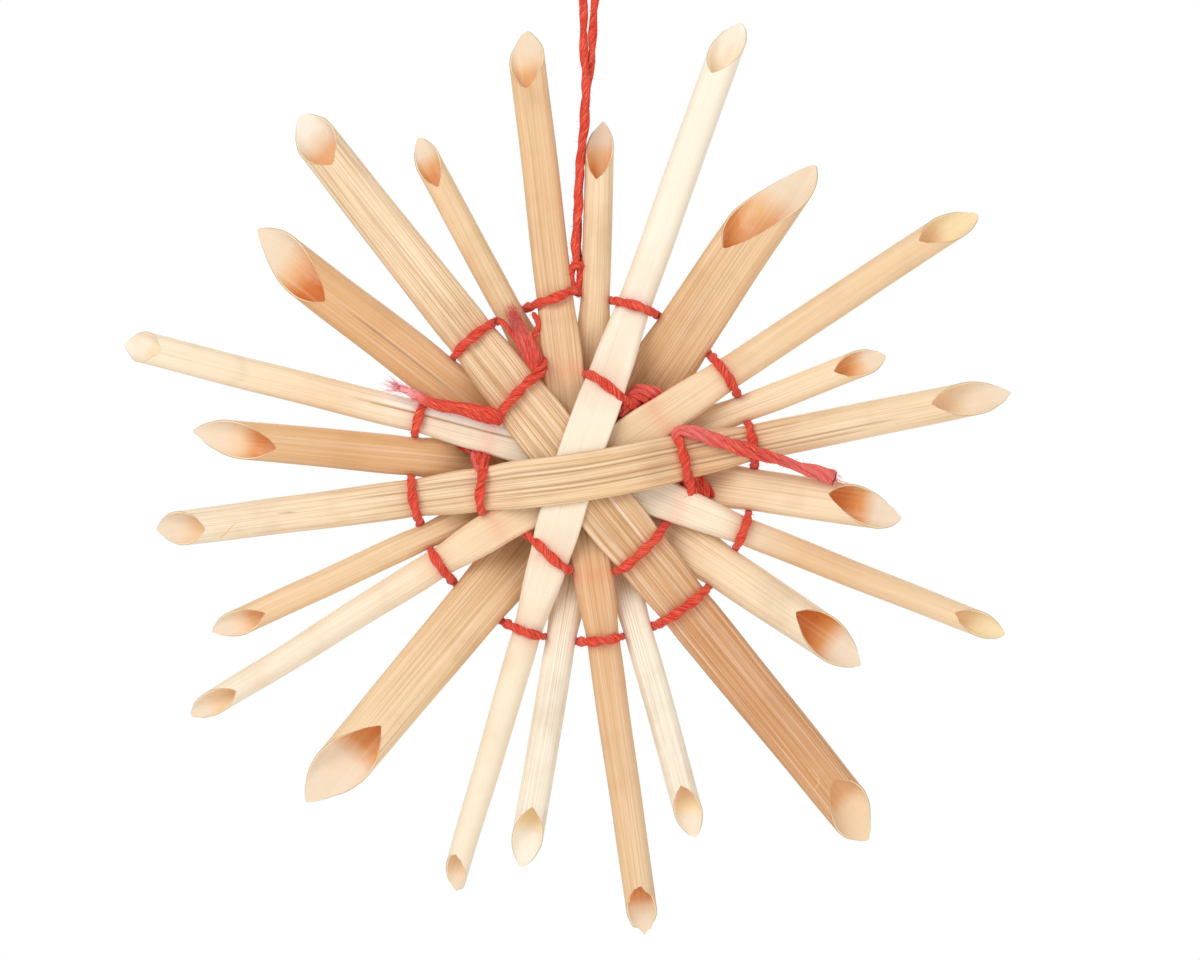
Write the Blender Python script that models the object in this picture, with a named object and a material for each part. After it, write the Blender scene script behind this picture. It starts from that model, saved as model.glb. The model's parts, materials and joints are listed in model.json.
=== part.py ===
"""Straw star ornament: whole straws crossed at their middles and bound with red thread, on a thread loop.

The star hangs upright in the XZ plane with its front towards -Y. The origin is the inside top of the
hanging loop, and the star's centre is straight below it. Sizes here are in millimetres, and every point
is turned into metres where it enters a mesh or a curve.
"""

import math
from collections import namedtuple

import bmesh
import bpy
from mathutils import Vector

MM = 0.001

# The whole star
LONG_REACH = 41.0  # usual reach of a long straw from the centre
SHORT_REACH = 34.0  # usual reach of a short straw
LOOP_DROP = 57.3  # from the inside top of the loop down to the star's centre

# Straw walls and sections
WALL = 0.25
CORNERS = 12  # corners round each straw
SIDE_BLEND = 4  # how sharply the flat faces of a section pass into its round sides
FLAT_END = 6.0  # the straws are pressed quite flat out to here
ROUND_START = 17.0  # from here out each straw has its free section
BORE_END = 11.0  # the open bores reach in to here, and further in the walls are pressed together
STRAIGHT_FROM = ROUND_START + 0.5  # straight walls run from here out to the tips
LAYER_GAP = 0.12  # between pressed straws in the stack at the centre
THINNING = 4 / (2 * math.pi - 4)  # how much thinner a tube of fixed girth gets as it gets wider
POINTEDNESS = 0.5  # how far the slanting cuts depart from a plane towards a pointed nib
MEETING_ROUNDS = 12  # rounds in which the crossing of a straw and a ring settles
BEND_REACH = 8.0  # the two ends of a straw blend into each other this far from the centre
HEADING_STEP = 0.2  # the direction of a bent straw is taken between points this far either side

# Depths of the straws along their length, front negative: where each group lies at each radius
GROUP = 3  # straws in each of these four groups
STACK_END = 4.7  # the straws of one group stay stacked out to here, and share one depth at the inner ring
MID_RADIUS = 6.8
NEAR_RING = 13.5
FREE_RADIUS = 20.0
FRONT_LONG = (-1.95, -1.2, -0.74, -0.34)  # at MID_RADIUS, inner ring, NEAR_RING, outer ring
BACK_LONG = (-0.8, -0.64, -0.72, -0.34)
FRONT_SHORT = (1.05, 1.45, 0.78, 0.34)
BACK_SHORT = (2.6, 2.5, 0.92, 0.34)

# Binding thread
THREAD = 0.86  # diameter
THREAD_SIDES = 6
CLEAR = 0.16  # between thread and straw
SQUEEZED = 0.45  # least thickness of the thread where it dives between two straws
PINCH_REACH = 1.6  # how far along a straw the thread's pinch is felt
SHOULDER = 50.0  # where the woven thread leaves each straw's edge, in degrees from straight over it
SHOULDER_THICK = 0.86  # share of the thread's thickness left there
INNER_RING = 9.5
INNER_OVAL = 0.75  # the inner ring is this much closer to the centre where it crosses long_straw_2
OVAL_HEADING = 72.0
INNER_SHIFT = (0.0, 0.0)
OUTER_RING = 15.45
OUTER_SHIFT = (-0.2, -0.15)  # the outer ring sits a little off the straws' crossing
TAIL_ROOT = 0.6  # thickness of each loose tail where it leaves the ring
LUMP_SIDES = (8, 5)  # of a lump of knotted thread, round it and from pole to pole

# Surfaces
STRAW_ROUGHNESS = 0.55
THREAD_ROUGHNESS = 0.9
THREAD_COLOUR = (0.87, 0.22, 0.17)
SCREEN_GAMMA = 2.2
SHARP_ANGLE = 50.0  # edges that turn more than this many degrees stay crisp

# Hanging loop
CORD = 0.72  # diameter
CORD_STEP = 1.6  # between points along the cord
CORD_GAP = 0.2  # between the knot and the cord's ends
FOOT_SWING = 85.0  # how far the pair of strands has swung round where it meets the knot
KNOT = (0.9, 1.2, 3.0)  # the knot that ties the loop to the outer ring: width, depth and height
KNOT_PLACE = (-0.74, -0.3, 16.75)

# The two strands above the knot: height above the star's centre, how far right their middle leans, half
# the distance between them, and how far the pair has swung round, 0 side by side and 90 front to back.
PAIR = (
    (20.5, -0.75, 0.40, 75),
    (23.8, -0.62, 0.40, 100),
    (27.7, -0.38, 0.40, 80),
    (31.3, -0.05, 0.40, 105),
    (34.9, 0.18, 0.40, 75),
    (37.0, 0.25, 0.41, 35),
    (39.2, 0.28, 0.42, 0),
    (42.1, 0.36, 0.54, 0),
    (45.5, 0.30, 1.20, 0),
    (49.5, 0.15, 2.60, 0),
    (53.3, 0.05, 3.10, 0),
    (56.2, 0.0, 2.20, 0),
)

# Loose tails of the inner binding: x, depth and z from the star's centre, and thickness
TAILS = (
    ((9.0, -2.1, 3.1, 0.9), (10.4, -2.35, 2.9, 1.1), (12.5, -2.6, 2.4, 1.0), (14.6, -3.0, 1.8, 1.1),
     (16.6, -2.7, 1.0, 1.0), (18.9, -2.1, 0.1, 1.1), (21.0, -1.9, -0.4, 1.2), (22.8, -1.7, -1.05, 1.35)),
    ((-9.0, -2.1, 4.9, 1.3), (-10.5, -2.4, 5.05, 1.7), (-12.4, -2.7, 5.4, 1.4),
     (-14.2, -2.95, 6.0, 1.0), (-15.7, -2.6, 6.8, 0.8), (-17.3, -2.2, 7.6, 0.7)),
    ((-4.7, -1.0, 9.9, 0.8), (-5.3, -0.9, 11.3, 1.4), (-5.9, -1.1, 12.7, 1.5),
     (-6.5, -1.4, 14.1, 1.2)),
)

# Knotted lumps of the inner binding: place and size, each as x, depth and z
LUMPS = (
    ((5.6, -1.8, 6.4), (3.2, 1.3, 1.5)),
    ((9.95, -1.85, -1.8), (1.4, 1.0, 1.4)),
    ((-9.5, -1.3, 1.1), (1.3, 1.2, 1.6)),
)

# One end of a straw: its heading in degrees anticlockwise from +X seen from the front, how far its axis
# passes clockwise of the centre, how much further than usual it reaches, its width near the outer ring
# and near the tip, the length of its slanting cut, and the cut's roll round the straw, in degrees.
End = namedtuple("End", "heading aside further width tip_width cut roll")

# A straw: its width where it is pressed flat, its group's depths, its colour, and its two ends.
Straw = namedtuple("Straw", "name flat_width depths colour first second")

# Listed from the front of the stack to the back.
STRAWS = (
    Straw("long_straw_1", 4.4, FRONT_LONG, (0.76, 0.58, 0.36),
          End(11.5, 0.79, -2.0, 3.35, 3.1, 7.4, -2), End(187.4, -0.69, -2.0, 3.5, 3.1, 4.5, 8)),
    Straw("long_straw_2", 4.0, FRONT_LONG, (0.87, 0.76, 0.58),
          End(70.2, -0.78, 1.6, 3.05, 3.0, 5.4, 20), End(253.5, 0.78, -1.2, 2.65, 2.15, 3.2, -28)),
    Straw("long_straw_3", 5.35, FRONT_LONG, (0.70, 0.46, 0.27),
          End(128.3, -0.73, 0.0, 4.5, 3.9, 5.6, 10), End(309.1, 0.85, 1.1, 4.75, 4.2, 6.3, 3)),
    Straw("long_straw_4", 3.95, BACK_LONG, (0.80, 0.65, 0.44),
          End(33.5, 0.0, 1.2, 2.95, 2.8, 5.9, 20), End(211.8, -0.35, 1.0, 2.85, 2.25, 4.8, 7)),
    Straw("long_straw_5", 3.7, BACK_LONG, (0.86, 0.74, 0.54),
          End(338.4, 0.0, -0.2, 2.55, 2.25, 5.1, 0), End(165.8, 0.77, 2.0, 2.92, 2.88, 3.5, -5)),
    Straw("long_straw_6", 4.0, BACK_LONG, (0.73, 0.52, 0.31),
          End(96.7, -0.89, -1.2, 3.35, 3.25, 5.4, 12), End(278.2, 0.6, 1.3, 3.0, 2.75, 4.4, 0)),
    Straw("short_straw_1", 3.3, FRONT_SHORT, (0.76, 0.58, 0.36),
          End(21.4, 0.26, -5.0, 2.55, 2.5, 5.0, 8), End(204.7, 0.4, 2.7, 2.45, 2.5, 5.1, 12)),
    Straw("short_straw_2", 5.4, FRONT_SHORT, (0.72, 0.50, 0.30),
          End(142.6, -1.54, 2.5, 4.45, 4.25, 8.9, 19), End(326.3, 0.63, -3.4, 4.0, 3.7, 7.7, 12)),
    Straw("short_straw_3", 3.9, FRONT_SHORT, (0.82, 0.68, 0.45),
          End(88.0, 0.33, -2.7, 2.65, 2.55, 5.4, 9), End(260.4, -0.44, 2.5, 2.76, 2.83, 5.7, 0)),
    Straw("short_straw_4", 3.4, BACK_SHORT, (0.82, 0.68, 0.46),
          End(118.4, 0.67, -0.6, 2.55, 2.48, 4.9, 13), End(285.6, -0.68, 0.8, 2.64, 2.58, 5.0, 0)),
    Straw("short_straw_5", 6.2, BACK_SHORT, (0.76, 0.57, 0.36),
          End(56.0, 0.65, 0.3, 5.4, 5.0, 11.0, 40), End(230.1, -0.39, 5.3, 5.15, 4.7, 9.8, 10)),
    Straw("short_straw_6", 4.7, BACK_SHORT, (0.76, 0.56, 0.35),
          End(351.8, -0.2, -5.1, 3.8, 3.65, 6.9, 24), End(174.6, -0.39, 1.5, 3.58, 3.4, 7.8, 13)),
)


def smooth(share):
    share = min(max(share, 0.0), 1.0)
    return share * share * (3 - 2 * share)


def mix(first, second, share):
    return first + (second - first) * share


def through(knots, place):
    """The smooth curve through (place, value) knots, level up to its first knot and past its last."""
    places = [knot[0] for knot in knots]
    values = [knot[1] for knot in knots]
    if place <= places[0] or place >= places[-1]:
        return values[0] if place <= places[0] else values[-1]
    slopes = [0.0] * len(knots)
    for i in range(1, len(knots) - 1):
        slopes[i] = (values[i + 1] - values[i - 1]) / (places[i + 1] - places[i - 1])
    i = max(k for k in range(len(knots) - 1) if places[k] <= place)
    span = places[i + 1] - places[i]
    t = (place - places[i]) / span
    start = (1 + 2 * t) * (1 - t) ** 2 * values[i] + t * (1 - t) ** 2 * span * slopes[i]
    finish = t * t * (3 - 2 * t) * values[i + 1] + t * t * (t - 1) * span * slopes[i + 1]
    return start + finish


def axis_line(end, radius):
    """A point of an end's straight axis, in plan: x and z."""
    heading = math.radians(end.heading)
    x = math.cos(heading) * radius + math.sin(heading) * end.aside
    z = math.sin(heading) * radius - math.cos(heading) * end.aside
    return x, z


class Arm:
    """One half of a straw, from the centre out to its tip."""

    def __init__(self, straw, end, other, layer):
        self.straw, self.end, self.other = straw, end, other
        self.is_long = straw.name.startswith("long")
        self.reach = (LONG_REACH if self.is_long else SHORT_REACH) + end.further
        pitch = 2 * WALL + LAYER_GAP
        self.group_depth = ((layer // GROUP + 0.5) * GROUP - len(STRAWS) / 2) * pitch
        self.own_depth = (layer % GROUP - (GROUP - 1) / 2) * pitch
        self.round_radius = WALL + (straw.flat_width - 2 * WALL) / math.pi
        self.pinches = []

    def place(self, radius):
        """The centre line: x, depth and z."""
        own = axis_line(self.end, radius)
        opposite = axis_line(self.other, -radius)
        share = smooth(0.5 + 0.5 * radius / BEND_REACH)
        mid, inner, near, outer = self.straw.depths
        knots = ((STACK_END, self.group_depth), (MID_RADIUS, mid), (INNER_RING, inner), (NEAR_RING, near),
                 (OUTER_RING, outer), (FREE_RADIUS, 0.0))
        stacked = 1 - smooth((abs(radius) - STACK_END) / (INNER_RING - STACK_END))
        depth = through(knots, abs(radius)) + self.own_depth * stacked
        return Vector((mix(opposite[0], own[0], share), depth, mix(opposite[1], own[1], share)))

    def half_sizes(self, radius):
        """Half the width and half the thickness of the section."""
        out = (radius - ROUND_START) / (self.reach - ROUND_START)
        free_wide = mix(self.end.width, self.end.tip_width, max(out, 0.0)) / 2
        free_thick = self.round_radius - (free_wide - self.round_radius) * THINNING
        free_thick = min(free_thick, free_wide)
        share = smooth((radius - FLAT_END) / (ROUND_START - FLAT_END))
        half_thick = mix(WALL, free_thick, share)
        half_wide = mix(self.straw.flat_width / 2, free_wide, share)
        for ring, pinch in self.pinches:
            half_wide -= pinch * math.exp(-(((radius - ring) / PINCH_REACH) ** 2))
        return half_wide, half_thick

    def frame(self, radius):
        """The section's two directions: across the straw, and through it from front to back."""
        along = self.place(radius + HEADING_STEP) - self.place(radius - HEADING_STEP)
        across = Vector((0, 1, 0)).cross(along).normalized()
        return across, along.cross(across).normalized()

    def point(self, radius, turn, wall=0.0):
        """A point of the section, wall deep: turn is the angle from its front, clockwise side first."""
        half_wide, half_thick = self.half_sizes(radius)
        half_wide, half_thick = half_wide - wall, half_thick - wall
        flat = half_wide - half_thick
        side = max(-1.0, min(1.0, math.sin(turn) * SIDE_BLEND))
        across, through_it = self.frame(radius)
        return (self.place(radius) + across * (flat * side + half_thick * math.sin(turn))
                - through_it * half_thick * math.cos(turn))

    def turns(self, radius):
        """The corners' angles, which drift round so that one of them meets the tip of the rolled cut."""
        part = 360 / CORNERS
        rest = self.end.roll - part * round(self.end.roll / part)
        drift = -rest * smooth(radius / ROUND_START)
        return [math.radians(part * k + drift) for k in range(CORNERS)]

    def cut_radius(self, turn):
        """How far out the slanting cut lies at this angle: the tip is on the back wall."""
        away = turn - math.pi + math.radians(self.end.roll)
        away = abs((away + math.pi) % (2 * math.pi) - math.pi)
        drop = mix((1 - math.cos(away)) / 2, away / math.pi, POINTEDNESS)
        return self.reach - self.end.cut * drop

    def meets(self, centre, ring):
        """The radius along this arm at which its axis crosses a ring, and the crossing's angle."""
        radius = ring(math.radians(self.end.heading))
        for _ in range(MEETING_ROUNDS):
            place = self.place(radius)
            x, z = place.x - centre[0], place.z - centre[1]
            angle = math.atan2(z, x)
            radius += ring(angle) - math.hypot(x, z)
        return radius, angle % (2 * math.pi)


def inner_ring(angle):
    return INNER_RING - INNER_OVAL * math.cos(angle - math.radians(OVAL_HEADING)) ** 2


def outer_ring(angle):
    return OUTER_RING


def crossings(arms, centre, ring):
    """Each arm that a ring of thread crosses, in order round the ring, as (angle, arm, radius on it)."""
    found = []
    for arm in arms:
        radius, angle = arm.meets(centre, ring)
        found.append((angle, arm, radius))
    return sorted(found, key=lambda crossing: crossing[0])


def pinch_arms(arms, centre, ring):
    """Narrows the arms where two of them leave the squeezed thread too little room between them.

    The arms are closest together along the thread's inner side, so the room is taken there.
    """
    found = crossings(arms, centre, ring)
    inward = THREAD / 2
    shortfalls = []
    for i, (angle, arm, radius) in enumerate(found):
        next_angle, next_arm, next_radius = found[(i + 1) % len(found)]
        turn = (next_angle - angle) % (2 * math.pi)
        room = 2 * (ring(angle) - inward) * math.sin(turn / 2)
        room -= arm.half_sizes(radius - inward)[0] + next_arm.half_sizes(next_radius - inward)[0]
        shortfalls.append(max(SQUEEZED + 2 * CLEAR - room, 0.0))
    for i, (angle, arm, radius) in enumerate(found):
        arm.pinches.append((radius - inward, max(shortfalls[i], shortfalls[i - 1]) / 2))


def weave(arms, centre, ring, passes_front):
    """The route of a binding ring as (point, outward direction, half thickness along the ring)."""
    half = THREAD / 2
    caps = []
    for angle, arm, radius in crossings(arms, centre, ring):
        half_wide, half_thick = arm.half_sizes(radius - half)
        side = -1 if passes_front(arm) else 1
        caps.append((angle, arm.place(radius).y, half_wide - half_thick, half_thick, side))
    route = []
    for i, (angle, depth, flat, thick, side) in enumerate(caps):
        around = ring(angle)
        off = thick + half + CLEAR
        shoulder = math.radians(SHOULDER)
        spots = []
        for way in (-1, 1):
            edge_run = way * (flat + off * math.sin(shoulder))
            spots.append((way * flat, side * off, half))
            spots.append((edge_run, side * off * math.cos(shoulder), half * SHOULDER_THICK))
        for run, lift, thick_there in sorted(spots):
            route.append((angle + run / around, depth + lift, thick_there))
        next_angle, next_depth, next_flat, next_thick, _ = caps[(i + 1) % len(caps)]
        turn = (next_angle - angle) % (2 * math.pi)
        inner_side = ring(angle + turn / 2) - half
        edge = Vector((flat, depth))
        between = Vector((turn * inner_side - next_flat, next_depth)) - edge
        room = between.length - thick - next_thick
        middle = edge + between.normalized() * (thick + room / 2)
        route.append((angle + middle.x / inner_side, middle.y, min(half, room / 2 - CLEAR)))
    points = []
    for angle, depth, squeeze in route:
        outward = Vector((math.cos(angle), 0, math.sin(angle)))
        spot = Vector((centre[0], depth, centre[1])) + outward * ring(angle)
        points.append((spot, outward, squeeze))
    return points


def material(name, colour, roughness):
    made = bpy.data.materials.new(name)
    made.use_nodes = True
    shader = made.node_tree.nodes["Principled BSDF"]
    shader.inputs["Base Color"].default_value = (*[share ** SCREEN_GAMMA for share in colour], 1)
    shader.inputs["Roughness"].default_value = roughness
    shader.inputs["Metallic"].default_value = 0.0
    return made


def add_object(name, fill, surface):
    """A new object, filled in millimetres about the star's centre and placed below the loop's top."""
    mesh = bpy.data.meshes.new(name)
    shape = bmesh.new()
    fill(shape)
    bmesh.ops.recalc_face_normals(shape, faces=shape.faces)
    bmesh.ops.scale(shape, vec=(MM, MM, MM), verts=shape.verts)
    shape.to_mesh(mesh)
    shape.free()
    mesh.materials.append(surface)
    mesh.shade_smooth()
    mesh.set_sharp_from_angle(angle=math.radians(SHARP_ANGLE))
    made = bpy.data.objects.new(name, mesh)
    made.location = (0, 0, -LOOP_DROP * MM)
    bpy.context.collection.objects.link(made)
    return made


def ring_of(shape, points):
    return [shape.verts.new(point) for point in points]


def bridge(shape, rings):
    """Skins the gap between each ring of corners and the next, corner k to corner k."""
    for first, second in zip(rings, rings[1:]):
        for k in range(len(first)):
            after = (k + 1) % len(first)
            shape.faces.new((first[k], first[after], second[after], second[k]))


def straw_filler(first, second):
    """Fills a mesh with a whole straw: one outer skin from tip to tip and a blind bore at each end."""
    def skin_of(arm):
        """Rings of corners where the straw bends or is pinched, then straight out to the cut."""
        inner = arm.pinches[0][0] if arm.is_long else INNER_RING
        outer = arm.pinches[-1][0]
        stations = (STACK_END, MID_RADIUS, inner, (inner + NEAR_RING) / 2, NEAR_RING, outer, STRAIGHT_FROM)
        skin = [[arm.point(radius, turn) for turn in arm.turns(radius)] for radius in stations]
        skin.append([arm.point(arm.cut_radius(turn), turn) for turn in arm.turns(ROUND_START)])
        return skin

    def bore_of(arm):
        bore = [[arm.point(arm.cut_radius(turn), turn, WALL) for turn in arm.turns(ROUND_START)]]
        for radius in (STRAIGHT_FROM, NEAR_RING, BORE_END):
            bore.append([arm.point(radius, turn, WALL) for turn in arm.turns(radius)])
        return bore

    def mirrored(skin):
        """The second end runs the other way, so its corners are counted the other way round."""
        return [[points[-k % CORNERS] for k in range(CORNERS)] for points in skin]

    def fill(shape):
        middle = [first.point(0.0, turn) for turn in first.turns(0.0)]
        skin = mirrored(skin_of(second))[::-1] + [middle] + skin_of(first)
        outer = [ring_of(shape, points) for points in skin]
        bridge(shape, outer)
        for rim, bore in ((outer[-1], bore_of(first)), (outer[0], mirrored(bore_of(second)))):
            inner = [ring_of(shape, points) for points in bore]
            bridge(shape, [rim] + inner)
            shape.faces.new(inner[-1])

    return fill


def thread_filler(points, closed):
    """Fills a mesh with a thread along (point, side direction, half thickness across that direction)."""

    def fill(shape):
        rings = []
        for i, (spot, outward, squeeze) in enumerate(points):
            before = points[i - 1][0] if closed or i else spot
            after = points[(i + 1) % len(points)][0] if closed or i + 1 < len(points) else spot
            along = (after - before).normalized()
            side = (outward - along * outward.dot(along)).normalized()
            other = along.cross(side)
            wide = THREAD / 2 if closed else squeeze
            corners = []
            for k in range(THREAD_SIDES):
                turn = 2 * math.pi * k / THREAD_SIDES
                corners.append(spot + side * wide * math.cos(turn) + other * squeeze * math.sin(turn))
            rings.append(ring_of(shape, corners))
        bridge(shape, rings + rings[:1] if closed else rings)
        if not closed:
            shape.faces.new(rings[0])
            shape.faces.new(rings[-1])

    return fill


def nearest_on(ring_points, place):
    """The point of a ring's route that is nearest to a place."""
    best = None
    for i, (start, _, _) in enumerate(ring_points):
        finish = ring_points[(i + 1) % len(ring_points)][0]
        run = finish - start
        share = min(max((place - start).dot(run) / run.length_squared, 0.0), 1.0)
        spot = start + run * share
        if best is None or (spot - place).length < (best - place).length:
            best = spot
    return best


def tail_filler(ring_points, route):
    """Fills a mesh with a loose tail from inside the ring's thread along (x, depth, z, thickness) stops."""
    spots = [(Vector(stop[:3]), Vector((0, 1, 0)), stop[3] / 2) for stop in route]
    root = nearest_on(ring_points, spots[0][0])
    return thread_filler([(root, Vector((0, 1, 0)), TAIL_ROOT / 2)] + spots, False)


def against(ring_points, place, size):
    """The place drawn in towards the ring's thread until a lump of this size there meets the thread."""
    root = nearest_on(ring_points, Vector(place))
    away = Vector(place) - root
    return root + away * min(1.0, min(size) / 2 / away.length)


def lump_filler(place, size):
    """Fills a mesh with a lump of knotted thread of the given width, depth and height."""

    def fill(shape):
        round_it, up_it = LUMP_SIDES
        bmesh.ops.create_uvsphere(shape, u_segments=round_it, v_segments=up_it, radius=0.5)
        bmesh.ops.scale(shape, vec=size, verts=shape.verts)
        bmesh.ops.translate(shape, vec=place, verts=shape.verts)

    return fill


def add_binding(name, ring_points, extras, surface):
    """A binding ring of thread, with its knots and loose tails fused to it."""
    ring = add_object(name, thread_filler(ring_points, True), surface)
    for number, filler in enumerate(extras):
        helper = add_object(f"{name}_piece_{number + 1}", filler, surface)
        helper.hide_render = True
        helper.display_type = "WIRE"
        fuse = ring.modifiers.new(f"fuse {number + 1}", "BOOLEAN")
        fuse.operation = "UNION"
        fuse.solver = "EXACT"
        fuse.object = helper
    return ring


def bend(stops, share):
    """A point of the smooth curve through the stops, share of the way along them."""
    place = share * (len(stops) - 1)
    i = min(int(place), len(stops) - 2)
    t = place - i
    before, start, finish = stops[max(i - 1, 0)], stops[i], stops[i + 1]
    after = stops[min(i + 2, len(stops) - 1)]
    return (start * 2 + (finish - before) * t + (before * 2 - start * 5 + finish * 4 - after) * t ** 2
            + (start * 3 - before - finish * 3 + after) * t ** 3) / 2


def cord_stops():
    """The hanging cord's own stops: up one strand, over the loop's top and down the other."""
    foot = KNOT_PLACE[2] + KNOT[2] / 2 + CORD_GAP
    pair = [(foot, KNOT_PLACE[0], CORD / 2 + CORD_GAP / 4, FOOT_SWING)] + list(PAIR)
    up, down = [], []
    for height, lean, spread, swing in pair:
        turn = math.radians(swing)
        offset = Vector((spread * math.cos(turn), spread * math.sin(turn), 0))
        middle = Vector((lean, 0, height))
        up.append(middle - offset)
        down.append(middle + offset)
    top = Vector((0, 0, LOOP_DROP + CORD / 2))
    return up + [top] + down[::-1]


def add_cord(name, surface):
    """The hanging loop as a round free cord with filled ends."""
    stops = cord_stops()
    length = sum((second - first).length for first, second in zip(stops, stops[1:]))
    count = round(length / CORD_STEP)
    curve = bpy.data.curves.new(name, "CURVE")
    curve.dimensions = "3D"
    curve.bevel_depth = CORD / 2 * MM
    curve.bevel_resolution = 2
    curve.use_fill_caps = True
    spline = curve.splines.new("POLY")
    spline.points.add(count)
    for i, point in enumerate(spline.points):
        point.co = (*(bend(stops, i / count) * MM), 1)
    curve.materials.append(surface)
    made = bpy.data.objects.new(name, curve)
    made.location = (0, 0, -LOOP_DROP * MM)
    bpy.context.collection.objects.link(made)
    return made


for old in list(bpy.data.objects):
    bpy.data.objects.remove(old, do_unlink=True)

arms = []
for layer, straw in enumerate(STRAWS):
    arms.append(Arm(straw, straw.first, straw.second, layer))
    arms.append(Arm(straw, straw.second, straw.first, layer))
long_arms = [arm for arm in arms if arm.is_long]
pinch_arms(long_arms, INNER_SHIFT, inner_ring)
pinch_arms(arms, OUTER_SHIFT, outer_ring)

for first, second in zip(arms[::2], arms[1::2]):
    straw = first.straw
    surface = material(f"{straw.name} straw", straw.colour, STRAW_ROUGHNESS)
    add_object(straw.name, straw_filler(first, second), surface)

thread_surface = material("red cotton thread", THREAD_COLOUR, THREAD_ROUGHNESS)
inner_points = weave(long_arms, INNER_SHIFT, inner_ring, lambda arm: arm.straw.depths is FRONT_LONG)
extras = [tail_filler(inner_points, route) for route in TAILS]
extras += [lump_filler(against(inner_points, place, size), size) for place, size in LUMPS]
add_binding("inner_binding_thread", inner_points, extras, thread_surface)
outer_points = weave(arms, OUTER_SHIFT, outer_ring, lambda arm: arm.is_long)
add_binding("outer_binding_thread", outer_points, [lump_filler(KNOT_PLACE, KNOT)], thread_surface)
add_cord("hanging_loop", thread_surface)
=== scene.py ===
# %% [markdown]
# # A straw star on a red thread
#
# The real thing is a flat hanging star: whole straws of wheat or rye, cut on a slant at both ends,
# crossed at their middles and woven together with two rings of red cotton thread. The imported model
# already gives every straw and thread its place and size. This lesson dresses it: each straw becomes
# a finely ribbed stalk with an open slanting mouth, and each thread becomes real twisted yarn with fuzz.
# First the frame is loaded.

# %% Load the frame
import json
import math
import random
from collections import namedtuple

import bpy
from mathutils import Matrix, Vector, noise
from mathutils.bvhtree import BVHTree

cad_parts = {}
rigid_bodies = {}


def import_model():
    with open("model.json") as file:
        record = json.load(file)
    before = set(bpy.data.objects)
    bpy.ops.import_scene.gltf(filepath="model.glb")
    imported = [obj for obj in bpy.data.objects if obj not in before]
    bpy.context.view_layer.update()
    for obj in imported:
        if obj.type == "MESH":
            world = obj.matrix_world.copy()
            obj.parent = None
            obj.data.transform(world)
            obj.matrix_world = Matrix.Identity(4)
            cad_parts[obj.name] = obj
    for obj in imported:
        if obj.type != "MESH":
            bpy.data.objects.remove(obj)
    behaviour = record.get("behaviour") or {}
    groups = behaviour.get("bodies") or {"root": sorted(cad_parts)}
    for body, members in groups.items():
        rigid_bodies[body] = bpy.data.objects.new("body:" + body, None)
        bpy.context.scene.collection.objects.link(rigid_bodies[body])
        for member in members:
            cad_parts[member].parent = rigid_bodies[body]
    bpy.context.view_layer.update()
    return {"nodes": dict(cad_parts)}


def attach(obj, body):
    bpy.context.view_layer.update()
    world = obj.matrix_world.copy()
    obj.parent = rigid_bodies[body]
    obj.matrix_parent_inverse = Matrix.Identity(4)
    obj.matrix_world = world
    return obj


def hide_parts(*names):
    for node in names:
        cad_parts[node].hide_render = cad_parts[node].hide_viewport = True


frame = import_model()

bpy.ops.object.select_all(action="DESELECT")
print("frame:", len(frame["nodes"]), "nodes")

# %% [markdown]
# ## The camera and the studio
#
# The photograph looks at the star squarely from the front, so the camera stands level with it and a long
# lens keeps the straws' proportions. A white world gives the white ground behind the star, and large soft
# lamps light it from the front, as in a light tent. Standard colour handling keeps white paper white.

# %% Camera
MM = 0.001
LOOP_DROP = 57.3  # from the inside top of the hanging loop down to the star's centre, in mm
VIEW_CENTRE = (1.35, -LOOP_DROP - 1.08)  # what the middle of the picture looks at: x and z
VIEW_WIDTH = 108.0  # how much of the star the picture shows from side to side
VIEW_DISTANCE = 600.0
SENSOR = 36.0
CLIP_START = 0.01  # in metres

bpy.ops.object.camera_add(
    location=(VIEW_CENTRE[0] * MM, -VIEW_DISTANCE * MM, VIEW_CENTRE[1] * MM),
    rotation=(math.radians(90), 0, 0),
)
camera = bpy.context.object
camera.data.sensor_width = SENSOR
camera.data.lens = SENSOR * VIEW_DISTANCE / VIEW_WIDTH
camera.data.clip_start = CLIP_START
bpy.context.scene.camera = camera
bpy.context.scene.view_settings.view_transform = "Standard"
print("lens:", round(camera.data.lens), "mm")

# %% [markdown]
# ## Colours and nodes
#
# Colours are given by the hex values of a painting program, but shaders reckon in linear light, so one
# function turns them. A material's nodes could be made one call at a time, with one more line for every
# link. One small function that takes a node's settings and links together keeps each material as short as
# its idea.


# %% Colours and nodes
def colour(text):
    """A colour from its sRGB hex text, turned to linear light."""
    shares = [int(text[i:i + 2], 16) / 255 for i in (1, 3, 5)]
    linear = [share / 12.92 if share <= 0.04045 else ((share + 0.055) / 1.055) ** 2.4 for share in shares]
    return (*linear, 1.0)


def add_node(tree, kind, inputs=None, stops=None, **settings):
    """Adds a node with its settings, its links or values, and the stops of a colour ramp."""
    node = tree.nodes.new(kind)
    for key, value in settings.items():
        setattr(node, key, value)
    for socket, value in (inputs or {}).items():
        if isinstance(value, bpy.types.NodeSocket):
            tree.links.new(value, node.inputs[socket])
        else:
            node.inputs[socket].default_value = value
    if stops:
        elements = node.color_ramp.elements
        while len(elements) < len(stops):
            elements.new(1.0)
        for element, (place, value) in zip(elements, stops):
            element.position = place
            element.color = colour(value)
    return node


def new_material(name):
    made = bpy.data.materials.new(name)
    made.use_nodes = True
    return made, made.node_tree, made.node_tree.nodes["Principled BSDF"]


print("mid grey #808080 is", round(colour("#808080")[0], 3), "in linear light")

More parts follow.
